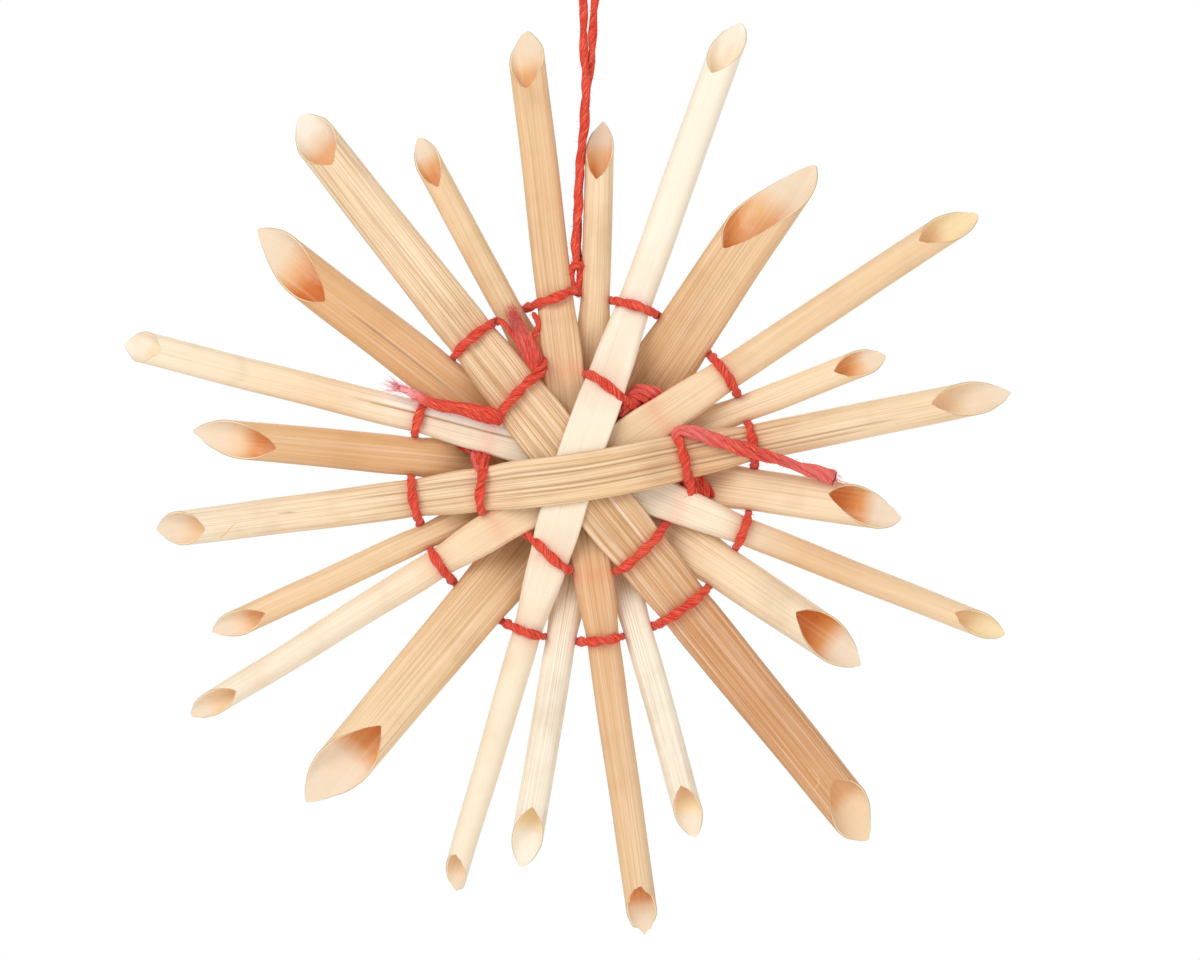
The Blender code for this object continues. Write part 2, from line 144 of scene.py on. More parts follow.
# %% World and lamps
STUDIO_WARMTH = (1.0, 0.985, 0.97, 1)
STUDIO_GLOW = 0.58
# Each lamp: where it stands from the star and how wide it is, in metres, and its watts.
LAMPS = {
    "key lamp": ((-0.35, -0.55, 0.35), 0.45, 2.8),
    "fill lamp": ((0.45, -0.55, -0.10), 0.6, 1.0),
    "back lamp": ((0.10, 0.60, 0.30), 0.6, 1.8),
}
star_centre = Vector((0, 0, -LOOP_DROP * MM))

world = bpy.data.worlds.new("white studio")
world.use_nodes = True
bpy.context.scene.world = world
sky = world.node_tree
backdrop = sky.nodes["Background"]
backdrop.inputs["Color"].default_value = (1, 1, 1, 1)
glow = add_node(sky, "ShaderNodeBackground", {"Color": STUDIO_WARMTH, "Strength": STUDIO_GLOW})
rays = add_node(sky, "ShaderNodeLightPath")
either = add_node(
    sky, "ShaderNodeMixShader",
    {0: rays.outputs["Is Camera Ray"], 1: glow.outputs["Background"], 2: backdrop.outputs["Background"]},
)
sky.links.new(either.outputs["Shader"], sky.nodes["World Output"].inputs["Surface"])

for lamp_name, (offset, side, power) in LAMPS.items():
    offset = Vector(offset)
    bpy.ops.object.light_add(
        type="AREA", location=star_centre + offset, rotation=(-offset).to_track_quat("-Z", "Y").to_euler()
    )
    lamp = bpy.context.object
    lamp.name = lamp_name
    lamp.data.size = side
    lamp.data.energy = power
print("lamps:", len(LAMPS))

# %% [markdown]
# ## The floor
#
# The star hangs in the air, so the floor is only the pale ground far below it. It could be a curved paper
# sweep, but a sweep behind the star would colour the white ground of the picture. A flat plate that ends
# below the picture's edge stays out of the front view and still gives every higher view its ground.

# %% Floor
FLOOR_DROP = 600.0  # how far the floor lies below the star's centre
FLOOR_SIDE = 14.0  # in metres
FLOOR_MOTTLE = 900.0  # noise cells in a metre: one about every millimetre
FLOOR_GLOW = 0.22

bpy.ops.mesh.primitive_plane_add(size=FLOOR_SIDE, location=star_centre - Vector((0, 0, FLOOR_DROP * MM)))
bpy.ops.object.transform_apply(location=True, rotation=False, scale=False)
floor = bpy.context.object
floor.name = "floor"
# Opal acrylic with a satin face, lit a little from inside: it looks evenly pale and mirrors nothing.
table, tree, shader = new_material("opal acrylic light table")
place = add_node(tree, "ShaderNodeTexCoord").outputs["Object"]
grain = add_node(tree, "ShaderNodeTexNoise", {"Vector": place, "Scale": FLOOR_MOTTLE, "Detail": 3.0})
tint = add_node(
    tree, "ShaderNodeValToRGB", {"Fac": grain.outputs["Fac"]}, stops=[(0.3, "#F8F7F5"), (0.7, "#FCFBFA")]
)
tree.links.new(tint.outputs["Color"], shader.inputs["Base Color"])
shader.inputs["Roughness"].default_value = 0.9
shader.inputs["Emission Strength"].default_value = FLOOR_GLOW
floor.data.materials.append(table)
print("floor:", FLOOR_SIDE, "m wide,", FLOOR_DROP, "mm below the star's centre")

# %% [markdown]
# ## Where every straw lies
#
# A real straw is pressed flat where it crosses the others and springs back to its round section towards
# the tips. The same named sizes as in the model are used here, in millimetres about the star's centre, so
# each stalk lies where its solid does: its heading, how far it passes beside the centre, its reach, its
# widths and the length of its slanting cut.

# %% Sizes of the straws
WALL = 0.25  # as in typical wheat straw
LONG_REACH = 41.0  # from the centre to the tip of a long straw, before each one's own difference
SHORT_REACH = 34.0
FLAT_END = 6.0  # pressed flat up to this far from the centre
ROUND_START = 17.0  # and round from here on
STRAIGHT_FROM = ROUND_START + 0.5
BORE_END = 11.0
THINNING = 4 / (2 * math.pi - 4)  # how much thinner a tube gets as it spreads, its girth staying the same
BEND_REACH = 8.0  # the two halves of a straw blend into one another up to here
HEADING_STEP = 0.2

# The stack at the centre, and the rings of thread that hold it.
GROUP = 3  # straws that lie in one group of the stack
LAYER_GAP = 0.12
STACK_END = 4.7
MID_RADIUS = 6.8
INNER_RING = 9.5
INNER_OVAL = 0.75  # how much nearer to the centre the ring passes along OVAL_HEADING
OVAL_HEADING = 72.0
NEAR_RING = 13.5
OUTER_RING = 15.45
OUTER_SHIFT = (-0.2, -0.15)
FREE_RADIUS = 20.0  # from here on a straw lies in the star's plane
THREAD = 0.86
CLEAR = 0.16  # between thread and straw
SQUEEZED = 0.45  # how thin the thread gets where it dives between two straws
PINCH_REACH = 1.6
PINCH_SHOWN = 0.25  # share of the model's pinch at the threads that the soft stalk shows
print("a straw's wall:", WALL, "mm, its hollow ends", BORE_END, "mm from the centre")

# %% The twelve straws
# How deep each group of straws lies at MID_RADIUS, INNER_RING, NEAR_RING and OUTER_RING.
FRONT_LONG = (-1.95, -1.2, -0.74, -0.34)
BACK_LONG = (-0.8, -0.64, -0.72, -0.34)
FRONT_SHORT = (1.05, 1.45, 0.78, 0.34)
BACK_SHORT = (2.6, 2.5, 0.92, 0.34)

End = namedtuple("End", "heading aside further width tip_width cut")
Straw = namedtuple("Straw", "name flat_width depths first second")
STRAWS = (
    Straw("long_straw_1", 4.4, FRONT_LONG,
          End(11.5, 0.79, -2.0, 3.35, 3.1, 7.4), End(187.4, -0.69, -2.0, 3.5, 3.1, 4.5)),
    Straw("long_straw_2", 4.0, FRONT_LONG,
          End(70.2, -0.78, 1.6, 3.05, 3.0, 5.4), End(253.5, 0.78, -1.2, 2.65, 2.15, 3.2)),
    Straw("long_straw_3", 5.35, FRONT_LONG,
          End(128.3, -0.73, 0.0, 4.5, 3.9, 5.6), End(309.1, 0.85, 1.1, 4.75, 4.2, 6.3)),
    Straw("long_straw_4", 3.95, BACK_LONG,
          End(33.5, 0.0, 1.2, 2.95, 2.8, 5.9), End(211.8, -0.35, 1.0, 2.85, 2.25, 4.8)),
    Straw("long_straw_5", 3.7, BACK_LONG,
          End(338.4, 0.0, -0.2, 2.55, 2.25, 5.1), End(165.8, 0.77, 2.0, 2.92, 2.88, 3.5)),
    Straw("long_straw_6", 4.0, BACK_LONG,
          End(96.7, -0.89, -1.2, 3.35, 3.25, 5.4), End(278.2, 0.6, 1.3, 3.0, 2.75, 4.4)),
    Straw("short_straw_1", 3.3, FRONT_SHORT,
          End(21.4, 0.26, -5.0, 2.55, 2.5, 5.0), End(204.7, 0.4, 2.7, 2.45, 2.5, 5.1)),
    Straw("short_straw_2", 5.4, FRONT_SHORT,
          End(142.6, -1.54, 2.5, 4.45, 4.25, 8.9), End(326.3, 0.63, -3.4, 4.0, 3.7, 7.7)),
    Straw("short_straw_3", 3.9, FRONT_SHORT,
          End(88.0, 0.33, -2.7, 2.65, 2.55, 5.4), End(260.4, -0.44, 2.5, 2.76, 2.83, 5.7)),
    Straw("short_straw_4", 3.4, BACK_SHORT,
          End(118.4, 0.67, -0.6, 2.55, 2.48, 4.9), End(285.6, -0.68, 0.8, 2.64, 2.58, 5.0)),
    Straw("short_straw_5", 6.2, BACK_SHORT,
          End(56.0, 0.65, 0.3, 5.4, 5.0, 11.0), End(230.1, -0.39, 5.3, 5.15, 4.7, 9.8)),
    Straw("short_straw_6", 4.7, BACK_SHORT,
          End(351.8, -0.2, -5.1, 3.8, 3.65, 6.9), End(174.6, -0.39, 1.5, 3.58, 3.4, 7.8)),
)
print("straws:", len(STRAWS))


# %% Curves and blends
def smooth(share):
    share = min(max(share, 0.0), 1.0)
    return share * share * (3 - 2 * share)


def mix(first, second, share):
    return first + (second - first) * share


def through(knots, place):
    """The smooth curve through (place, value) knots, level up to its first knot and past its last."""
    places = [knot[0] for knot in knots]
    values = [knot[1] for knot in knots]
    if place <= places[0] or place >= places[-1]:
        return values[0] if place <= places[0] else values[-1]
    slopes = [0.0] * len(knots)
    for i in range(1, len(knots) - 1):
        slopes[i] = (values[i + 1] - values[i - 1]) / (places[i + 1] - places[i - 1])
    i = max(k for k in range(len(knots) - 1) if places[k] <= place)
    span = places[i + 1] - places[i]
    t = (place - places[i]) / span
    start = (1 + 2 * t) * (1 - t) ** 2 * values[i] + t * (1 - t) ** 2 * span * slopes[i]
    finish = t * t * (3 - 2 * t) * values[i + 1] + t * t * (t - 1) * span * slopes[i + 1]
    return start + finish


print("a quarter of the way, a smooth blend has done", smooth(0.25))


# %% One half of a straw
ROUNDS_TO_MEET = 12


def axis_line(end, radius):
    heading = math.radians(end.heading)
    x = math.cos(heading) * radius + math.sin(heading) * end.aside
    z = math.sin(heading) * radius - math.cos(heading) * end.aside
    return x, z


class Arm:
    """One half of a straw, from the centre out to its tip."""

    def __init__(self, straw, end, other, layer):
        self.straw, self.end, self.other = straw, end, other
        self.is_long = straw.name.startswith("long")
        self.reach = (LONG_REACH if self.is_long else SHORT_REACH) + end.further
        pitch = 2 * WALL + LAYER_GAP
        self.group_depth = ((layer // GROUP + 0.5) * GROUP - len(STRAWS) / 2) * pitch
        self.own_depth = (layer % GROUP - (GROUP - 1) / 2) * pitch
        self.round_radius = WALL + (straw.flat_width - 2 * WALL) / math.pi
        self.pinches = []

    def place(self, radius):
        own = axis_line(self.end, radius)
        opposite = axis_line(self.other, -radius)
        share = smooth(0.5 + 0.5 * radius / BEND_REACH)
        mid, inner, near, outer = self.straw.depths
        knots = ((STACK_END, self.group_depth), (MID_RADIUS, mid), (INNER_RING, inner), (NEAR_RING, near),
                 (OUTER_RING, outer), (FREE_RADIUS, 0.0))
        stacked = 1 - smooth((abs(radius) - STACK_END) / (INNER_RING - STACK_END))
        depth = through(knots, abs(radius)) + self.own_depth * stacked
        return Vector((mix(opposite[0], own[0], share), depth, mix(opposite[1], own[1], share)))

    def half_sizes(self, radius, tight=1.0):
        """Half the width and half the thickness. tight is how much of the thread's pinch is taken."""
        out = (radius - ROUND_START) / (self.reach - ROUND_START)
        free_wide = mix(self.end.width, self.end.tip_width, max(out, 0.0)) / 2
        free_thick = min(self.round_radius - (free_wide - self.round_radius) * THINNING, free_wide)
        share = smooth((radius - FLAT_END) / (ROUND_START - FLAT_END))
        half_thick = mix(WALL, free_thick, share)
        half_wide = mix(self.straw.flat_width / 2, free_wide, share)
        for ring, pinch in self.pinches:
            half_wide -= tight * pinch * math.exp(-(((radius - ring) / PINCH_REACH) ** 2))
        return half_wide, half_thick

    def frame(self, radius):
        along = self.place(radius + HEADING_STEP) - self.place(radius - HEADING_STEP)
        across = Vector((0, 1, 0)).cross(along).normalized()
        return across, along.cross(across).normalized()

    def section(self, radius, share, wall=0.0):
        """The point this share of the way round the straw from the middle of its front: how far across the
        straw and how far towards its front."""
        half_wide, half_thick = self.half_sizes(radius, PINCH_SHOWN)
        flat, thick = half_wide - half_thick, half_thick - wall
        way = 1 if share < 0.5 else -1
        run = min(share, 1 - share) * (4 * flat + 2 * math.pi * thick)
        if run <= flat:
            return way * run, thick
        if run < flat + math.pi * thick:
            turn = (run - flat) / thick
            return way * (flat + thick * math.sin(turn)), thick * math.cos(turn)
        return way * (2 * flat + math.pi * thick - run), -thick

    def cut_radius(self, share, roll, pointed):
        """Where the slanting cut crosses the line this share of the way round. roll turns the tip to the
        side, and a pointed mouth runs out straight where a plain one is an oval."""
        away = 2 * math.pi * (share - 0.5) + math.radians(roll)
        away = abs((away + math.pi) % (2 * math.pi) - math.pi)
        return self.reach - self.end.cut * mix((1 - math.cos(away)) / 2, away / math.pi, pointed)

    def meets(self, centre, ring):
        """How far out, and at what angle about the ring's centre, the straw crosses a ring of thread."""
        radius = ring(math.radians(self.end.heading))
        for _ in range(ROUNDS_TO_MEET):
            place = self.place(radius)
            x, z = place.x - centre[0], place.z - centre[1]
            angle = math.atan2(z, x)
            radius += ring(angle) - math.hypot(x, z)
        return radius, angle % (2 * math.pi)


arms = []
for layer, straw in enumerate(STRAWS):
    arms.append(Arm(straw, straw.first, straw.second, layer))
    arms.append(Arm(straw, straw.second, straw.first, layer))
print("straw halves:", len(arms), "and the longest reaches", max(arm.reach for arm in arms), "mm")

# %% [markdown]
# ## The two rings of thread
#
# The thread holds the star together: the inner ring dives in front of three long straws and behind the
# other three, and the outer ring runs in front of every long straw and behind every short one. Where a
# thread dives between two straws it draws them in. The rings could be plain circles, but the hand-tied
# inner one is an oval that is pulled in and out between the straws, so it gets a small table of pulls.


# %% The two rings of thread
def inner_ring(angle):
    return INNER_RING - INNER_OVAL * math.cos(angle - math.radians(OVAL_HEADING)) ** 2


def outer_ring(angle):
    return OUTER_RING


def crossings(arms, centre, ring):
    found = []
    for arm in arms:
        radius, angle = arm.meets(centre, ring)
        found.append((angle, arm, radius))
    return sorted(found, key=lambda crossing: crossing[0])


def pinch_arms(arms, centre, ring):
    """Narrows the straws where the thread dives between two of them."""
    found = crossings(arms, centre, ring)
    inward = THREAD / 2
    shortfalls = []
    for i, (angle, arm, radius) in enumerate(found):
        next_angle, next_arm, next_radius = found[(i + 1) % len(found)]
        turn = (next_angle - angle) % (2 * math.pi)
        room = 2 * (ring(angle) - inward) * math.sin(turn / 2)
        room -= arm.half_sizes(radius - inward)[0] + next_arm.half_sizes(next_radius - inward)[0]
        shortfalls.append(max(SQUEEZED + 2 * CLEAR - room, 0.0))
    for i, (angle, arm, radius) in enumerate(found):
        arm.pinches.append((radius - inward, max(shortfalls[i], shortfalls[i - 1]) / 2))


# Heading in degrees, and how far the thread of the inner ring is pulled outward there.
RING_PULLS = (
    (0, -0.3), (21, -0.6), (55, -1.8), (88, -0.4), (114, 0.2), (151, -0.5), (179, -0.35), (207, 0.9),
    (228, -1.0), (264, 0.6), (285, 0.7), (327, -0.65), (349, -0.1), (360, -0.3),
)


def pulled(angle):
    return through(RING_PULLS, math.degrees(angle) % 360)


long_arms = [arm for arm in arms if arm.is_long]
pinch_arms(long_arms, (0, 0), inner_ring)
pinch_arms(arms, OUTER_SHIFT, outer_ring)
deepest = max(pinch for arm in arms for _, pinch in arm.pinches)
print("the threads draw a straw in by", round(deepest, 2), "mm at most")

# %% [markdown]
# ## Rolling a sheet into a tube
#
# A straw and a strand of yarn are both tubes that follow a line. The plainest way to make one is to add a
# flat grid, move each of its rows onto a ring of points and weld its two long edges. The grid keeps its
# rows and columns in order, so coordinates along and around the tube can be written on it for the
# materials.


# %% Rolled sheets
WELD = 1e-7  # in metres: points nearer than this become one
SHARP_EDGE = 50.0  # edges that turn by more degrees than this stay sharp


def select_only(piece):
    bpy.ops.object.select_all(action="DESELECT")
    piece.select_set(True)
    bpy.context.view_layer.objects.active = piece


def note_points(mesh, key, values):
    """Writes a value for every point of a mesh, for its material to read: a number or three."""
    is_vector = hasattr(values[0], "__len__")
    layer = mesh.attributes.new(key, "FLOAT_VECTOR" if is_vector else "FLOAT", "POINT")
    if is_vector:
        layer.data.foreach_set("vector", [number for value in values for number in value])
    else:
        layer.data.foreach_set("value", values)


def rolled_sheet(name, rings, notes, is_loop=False):
    """A tube through rings of points in mm about the star's centre. notes holds, for each attribute, a
    value for every point of every ring."""
    if is_loop:
        rings = rings + rings[:1]
        notes = {key: rows + rows[:1] for key, rows in notes.items()}
    rows, columns = len(rings), len(rings[0])
    bpy.ops.mesh.primitive_grid_add(x_subdivisions=columns, y_subdivisions=rows - 1, size=1)
    piece = bpy.context.object
    piece.name = name
    mesh = piece.data
    mesh.name = name
    order = [(round((vertex.co.y + 0.5) * (rows - 1)), round((vertex.co.x + 0.5) * columns) % columns)
             for vertex in mesh.vertices]
    for vertex, (row, column) in zip(mesh.vertices, order):
        vertex.co = star_centre + rings[row][column] * MM
    for key, values in notes.items():
        note_points(mesh, key, [values[row][column] for row, column in order])
    select_only(piece)
    bpy.ops.object.mode_set(mode="EDIT")
    bpy.ops.mesh.select_all(action="SELECT")
    bpy.ops.mesh.remove_doubles(threshold=WELD)
    bpy.ops.mesh.normals_make_consistent(inside=False)
    bpy.ops.object.mode_set(mode="OBJECT")
    bpy.ops.object.shade_smooth_by_angle(angle=math.radians(SHARP_EDGE))
    return piece


print("a sheet's edges stay sharp past", SHARP_EDGE, "degrees")

# %% [markdown]
# ## Thin fibres
#
# Cotton hairs and slivers of straw are much thinner than the pieces that they stand off. Hair particles
# could draw them, but an export keeps only meshes. So each fibre is a curve with a round bevel, and all
# fibres of a piece are turned into one mesh together.

# %% Thin fibres
HAIR = 0.018  # half thickness of a cotton hair, drawn a little coarse so that it shows
WISP_HAIR = 0.03  # a few hairs that cling together
HAIR_TAPER = 0.6  # how much thinner a hair is at its tip


def bend(stops, share):
    """A point of the smooth curve through the stops, share of the way along them."""
    place = share * (len(stops) - 1)
    i = min(int(place), len(stops) - 2)
    t = place - i
    before, start, finish = stops[max(i - 1, 0)], stops[i], stops[i + 1]
    after = stops[min(i + 2, len(stops) - 1)]
    return (start * 2 + (finish - before) * t + (before * 2 - start * 5 + finish * 4 - after) * t ** 2
            + (start * 3 - before - finish * 3 + after) * t ** 3) / 2


def add_hairs(name, hairs, fade=0.0, thick=HAIR):
    """Thin curves, each a short list of points in mm, turned into one mesh."""
    curve = bpy.data.curves.new(name, "CURVE")
    curve.dimensions = "3D"
    curve.bevel_depth = thick * MM
    curve.bevel_resolution = 0
    curve.use_fill_caps = True
    for points in hairs:
        spline = curve.splines.new("POLY")
        spline.points.add(len(points) - 1)
        for i, (point, spot) in enumerate(zip(spline.points, points)):
            point.co = (*(star_centre + spot * MM), 1)
            point.radius = 1 - HAIR_TAPER * i / (len(points) - 1)
    piece = bpy.data.objects.new(name, curve)
    bpy.context.scene.collection.objects.link(piece)
    select_only(piece)
    bpy.ops.object.convert(target="MESH")
    piece = bpy.context.object
    spots = [vertex.co / MM for vertex in piece.data.vertices]
    note_points(piece.data, "yarn", spots)
    note_points(piece.data, "fade", [fade] * len(spots))
    return piece


print("a hair is", round(2 * HAIR, 3), "mm thick")

# %% [markdown]
# ## The stalks
#
# Each stalk is one sheet: it starts deep in one bore, comes out over the cut rim, runs along the whole
# outside and goes back in at the other end. The rows lean with the slanting cut, so the rim is a clean
# thin edge. A little noise that changes slowly along the stalk and quickly around it raises the ribs that
# a dry stalk has.

# %% Rows of a stalk
SIDES = 64
SHARES = [k / SIDES for k in range(SIDES)]
CENTRE_ROWS = 26
TIP_ROWS = 26
BORE_ROWS = 12
DEEP_ROWS = 4
RAGGED = 0.12  # how uneven the cut rim is
RAGGED_MORE = {"long_straw_6": 0.3}
RAGS = 3  # noise cells from the middle of a mouth to its rim: more make finer rags
RIM = 0.17  # the wall is thinner at the cut, where the knife frays its soft inside

Spot = namedtuple("Spot", "radius wall opening")


def rows_of(arm, seed, mouth_cut):
    """The rows of one half, from the first outside row to the bottom of its bore: a Spot for each column."""
    def cut(share):
        turn = 2 * math.pi * share
        uneven = RAGGED_MORE.get(arm.straw.name, RAGGED)
        return arm.cut_radius(share, *mouth_cut) + uneven * noise.noise(
            Vector((math.sin(turn) * RAGS, math.cos(turn) * RAGS, seed + arm.end.heading)))

    def opening(radius):
        return (arm.reach - radius) / arm.end.cut

    cuts = [cut(share) for share in SHARES]
    rows = []
    for i in range(1, CENTRE_ROWS + 1):
        radius = STRAIGHT_FROM * i / CENTRE_ROWS
        rows.append([Spot(radius, 0.0, opening(radius)) for _ in SHARES])
    for i in range(1, TIP_ROWS + 1):
        radii = [mix(STRAIGHT_FROM, edge, i / TIP_ROWS) for edge in cuts]
        rows.append([Spot(radius, 0.0, opening(radius)) for radius in radii])
    for i in range(BORE_ROWS + 1):
        radii = [mix(edge, STRAIGHT_FROM, i / BORE_ROWS) for edge in cuts]
        wall = mix(RIM, WALL, i / BORE_ROWS)
        rows.append([Spot(radius, wall, opening(radius)) for radius in radii])
    for i in range(1, DEEP_ROWS + 1):
        radius = mix(STRAIGHT_FROM, BORE_END, i / DEEP_ROWS)
        wall = WALL if i < DEEP_ROWS else arm.half_sizes(radius)[1]
        rows.append([Spot(radius, wall, opening(radius)) for _ in SHARES])
    return rows


print("rows in half a stalk:", CENTRE_ROWS + TIP_ROWS + BORE_ROWS + 1 + DEEP_ROWS, "of", SIDES, "points each")

# %% Points of a stalk
RIB = 0.014  # height of the raised ribs
RIBS_RAISED = 2.4  # ribs across a millimetre that the mesh itself carries
RIBS_ALONG = 0.03  # and how much they change in a millimetre along it
WOBBLE = 0.10  # how far a stalk's sides wander
WOBBLE_ALONG = 0.11
WOBBLE_SEED = 3.0
RED_BOUNCE_REACH = 0.8  # how far to both sides of a thread the straw gets painted red light bounced off the yarn
FAR_FROM_MOUTH = 5.0


def stalk_half(arm, seed, is_second, mouth_cut):
    """Rings of points and their notes for one half of a stalk: where on the skin a point lies, whether it is
    inside the mouth and how deep, and what marks it (a crack, painted red bounce light near a thread, worn
    skin)."""
    rings, fibres, mouths, marks = [], [], [], []
    under_inner, angle = arm.meets((0, 0), inner_ring)
    thread_crossings = [under_inner + pulled(angle), arm.meets(OUTER_SHIFT, outer_ring)[0]]
    for row in rows_of(arm, seed, mouth_cut):
        ring, fibre, mouth, mark = [], [], [], []
        for share, spot in zip(SHARES, row):
            half_thick = arm.half_sizes(spot.radius)[1]
            across_mm, front_mm = arm.section(spot.radius, share, spot.wall)
            along = -spot.radius if is_second else spot.radius
            turn = 2 * math.pi * (-share if is_second else share)
            round_mm = Vector((arm.round_radius * math.sin(turn), arm.round_radius * math.cos(turn), 0))
            line = Vector((along * RIBS_ALONG, round_mm.x * RIBS_RAISED, round_mm.y * RIBS_RAISED + seed))
            raised = RIB * noise.noise(line)
            lean = WOBBLE * noise.noise(Vector((along * WOBBLE_ALONG, seed, WOBBLE_SEED)))
            lean *= smooth(spot.radius / FREE_RADIUS)
            across, through_it = arm.frame(spot.radius)
            if spot.wall == 0.0:
                across_mm *= 1 + raised / half_thick * 0.5
                front_mm *= 1 + raised / half_thick
            ring.append(arm.place(spot.radius) + across * (across_mm + lean) - through_it * front_mm)
            fibre.append((along, round_mm.x, round_mm.y))
            mouth.append((1.0 if spot.wall else 0.0, spot.opening, 0.0))
            # Painted red bounce light: long straws are tinted near where a thread crosses them.
            away = min(abs(spot.radius - place) for place in thread_crossings)
            red_bounce = arm.is_long * math.exp(-((away / RED_BOUNCE_REACH) ** 2))
            mark.append((0.0, red_bounce, 0.0))
        if is_second:
            ring, fibre, mouth, mark = [
                [values[-k % SIDES] for k in range(SIDES)] for values in (ring, fibre, mouth, mark)]
        rings.append(ring)
        fibres.append(fibre)
        mouths.append(mouth)
        marks.append(mark)
    return rings, fibres, mouths, marks


def middle_row(arm):
    """The one row across the centre, between the two halves."""
    ring, fibre = [], []
    across, through_it = arm.frame(0.0)
    for share in SHARES:
        across_mm, front_mm = arm.section(0.0, share)
        turn = 2 * math.pi * share
        ring.append(arm.place(0.0) + across * across_mm - through_it * front_mm)
        fibre.append((0.0, arm.round_radius * math.sin(turn), arm.round_radius * math.cos(turn)))
    return ring, fibre, [(0.0, FAR_FROM_MOUTH, 0.0)] * SIDES, [(0.0, 0.0, 0.0)] * SIDES


print("ribs:", RIBS_RAISED, "a millimetre and", RIB, "mm high")

# %% [markdown]
# ## What straw looks like
#
# Straw is the dried stem of wheat or rye. Its skin is a silky pale gold with fine lengthwise fibres, some
# of them darker, and it bleaches unevenly. The cut rim is pale and the pith inside is pink, turning orange in
# the depth partly by its own tint and partly by painted shade and bounce light. The pattern is drawn in
# millimetres along and around each stalk, from the notes that the sheet carries, so it runs with the fibres
# through every bend.

# %% The looks of each straw
# Straw bleaches from brown over gold to ivory, and its pith runs from paper white to rust; the deep
# shades of the pith also carry painted shade and bounce light of the bore.
IVORY, CREAM, PALE_GOLD, GOLD = "#F3E8D4", "#F0E0C6", "#EED2AC", "#E7C498"
HONEY, TAN, BROWN_TAN, NUT = "#E1B789", "#DAA875", "#CB915F", "#AC7844"
PAPER, BLUSH, PEACH, APRICOT = "#F1E5D4", "#E7D2B8", "#E8CAA4", "#E2B07C"
AMBER, RUST, YELLOW_PITH = "#DC9552", "#D27A34", "#ECD5A8"

# A look: the skin's colours by their place along the straw in mm, the pith from tip to depth in both mouths,
# how strong the ribs are, the colour of the dark blotches and of the painted shade between the ribs, and how
# both mouths are turned and how pointed they are.
Look = namedtuple("Look", "skin first_mouth second_mouth ribs dark cuts")
LOOKS = {
    "long_straw_1": Look(
        ((-38, CREAM), (-20, PALE_GOLD), (0, GOLD), (12, HONEY), (24, PALE_GOLD), (38, PALE_GOLD)),
        (BLUSH, BLUSH, PEACH), (BLUSH, BLUSH, PEACH), 0.55, NUT, ((10, 0.6), (8, 0.5))),
    "long_straw_2": Look(
        ((-39, CREAM), (-24, CREAM), (-8, CREAM), (12, IVORY), (42, IVORY)),
        (PAPER, PAPER, CREAM), (BLUSH, PEACH, PEACH), 0.16, TAN, ((20, 0.5), (-28, 0.3))),
    "long_straw_3": Look(
        ((-42, TAN), (-30, BROWN_TAN), (-18, BROWN_TAN), (-8, HONEY), (12, GOLD), (26, PALE_GOLD),
         (41, PALE_GOLD)),
        (PAPER, BLUSH, APRICOT), (PEACH, PEACH, APRICOT), 0.85, NUT, ((8, 0.6), (18, 0.45))),
    "long_straw_4": Look(
        ((-41, CREAM), (-25, CREAM), (-12, PALE_GOLD), (0, GOLD), (13, PALE_GOLD), (22, GOLD), (41, GOLD)),
        (YELLOW_PITH, YELLOW_PITH, GOLD), (BLUSH, PEACH, PEACH), 0.3, BROWN_TAN, ((20, 0.5), (7, 0.5))),
    "long_straw_5": Look(
        ((-42, CREAM), (-24, PALE_GOLD), (-12, CREAM), (12, CREAM), (21, HONEY), (40, PALE_GOLD)),
        (YELLOW_PITH, YELLOW_PITH, GOLD), (PAPER, PAPER, CREAM), 0.3, BROWN_TAN, ((5, 0.6), (-5, 0.7))),
    "long_straw_6": Look(
        ((-42, GOLD), (-24, HONEY), (-12, TAN), (14, HONEY), (26, HONEY), (40, GOLD)),
        (BLUSH, PEACH, APRICOT), (BLUSH, PEACH, AMBER), 0.42, NUT, ((12, 0.6), (0, 0.5))),
    "short_straw_1": Look(
        ((-36, GOLD), (-20, GOLD), (0, HONEY), (16, PALE_GOLD), (29, PALE_GOLD)),
        (BLUSH, APRICOT, AMBER), (BLUSH, PEACH, APRICOT), 0.35, NUT, ((8, 0.55), (12, 0.55))),
    "short_straw_2": Look(
        ((-30, CREAM), (-16, PALE_GOLD), (0, TAN), (20, TAN), (36, TAN)),
        (BLUSH, APRICOT, RUST), (BLUSH, AMBER, RUST), 0.4, NUT, ((24, 0.45), (12, 0.6))),
    "short_straw_3": Look(
        ((-36, IVORY), (-18, IVORY), (-6, PALE_GOLD), (6, GOLD), (31, PALE_GOLD)),
        (BLUSH, APRICOT, AMBER), (PAPER, PAPER, YELLOW_PITH), 0.42, NUT, ((9, 0.65), (0, 0.55))),
    "short_straw_4": Look(
        ((-34, IVORY), (-18, IVORY), (-6, CREAM), (6, GOLD), (33, GOLD)),
        (BLUSH, APRICOT, AMBER), (PAPER, YELLOW_PITH, GOLD), 0.45, NUT, ((13, 0.6), (0, 0.55))),
    "short_straw_5": Look(
        ((-39, PALE_GOLD), (-24, GOLD), (0, TAN), (20, HONEY), (34, GOLD)),
        (BLUSH, APRICOT, AMBER), (BLUSH, BLUSH, AMBER), 0.55, NUT, ((38, 0.5), (10, 0.6))),
    "short_straw_6": Look(
        ((-35, HONEY), (-20, TAN), (0, HONEY), (16, PALE_GOLD), (29, PALE_GOLD)),
        (BLUSH, AMBER, RUST), (BLUSH, PEACH, AMBER), 0.38, NUT, ((24, 0.5), (15, 0.6))),
}
print("looks:", len(LOOKS), "and the strongest ribs are at", max(look.ribs for look in LOOKS.values()))

# %% Layers of colour
ALONG_SHARE = 0.007  # along the fibres a pattern changes at this share of its pace across them

Layer = namedtuple("Layer", "source low high amount top is_rib", defaults=(False,))


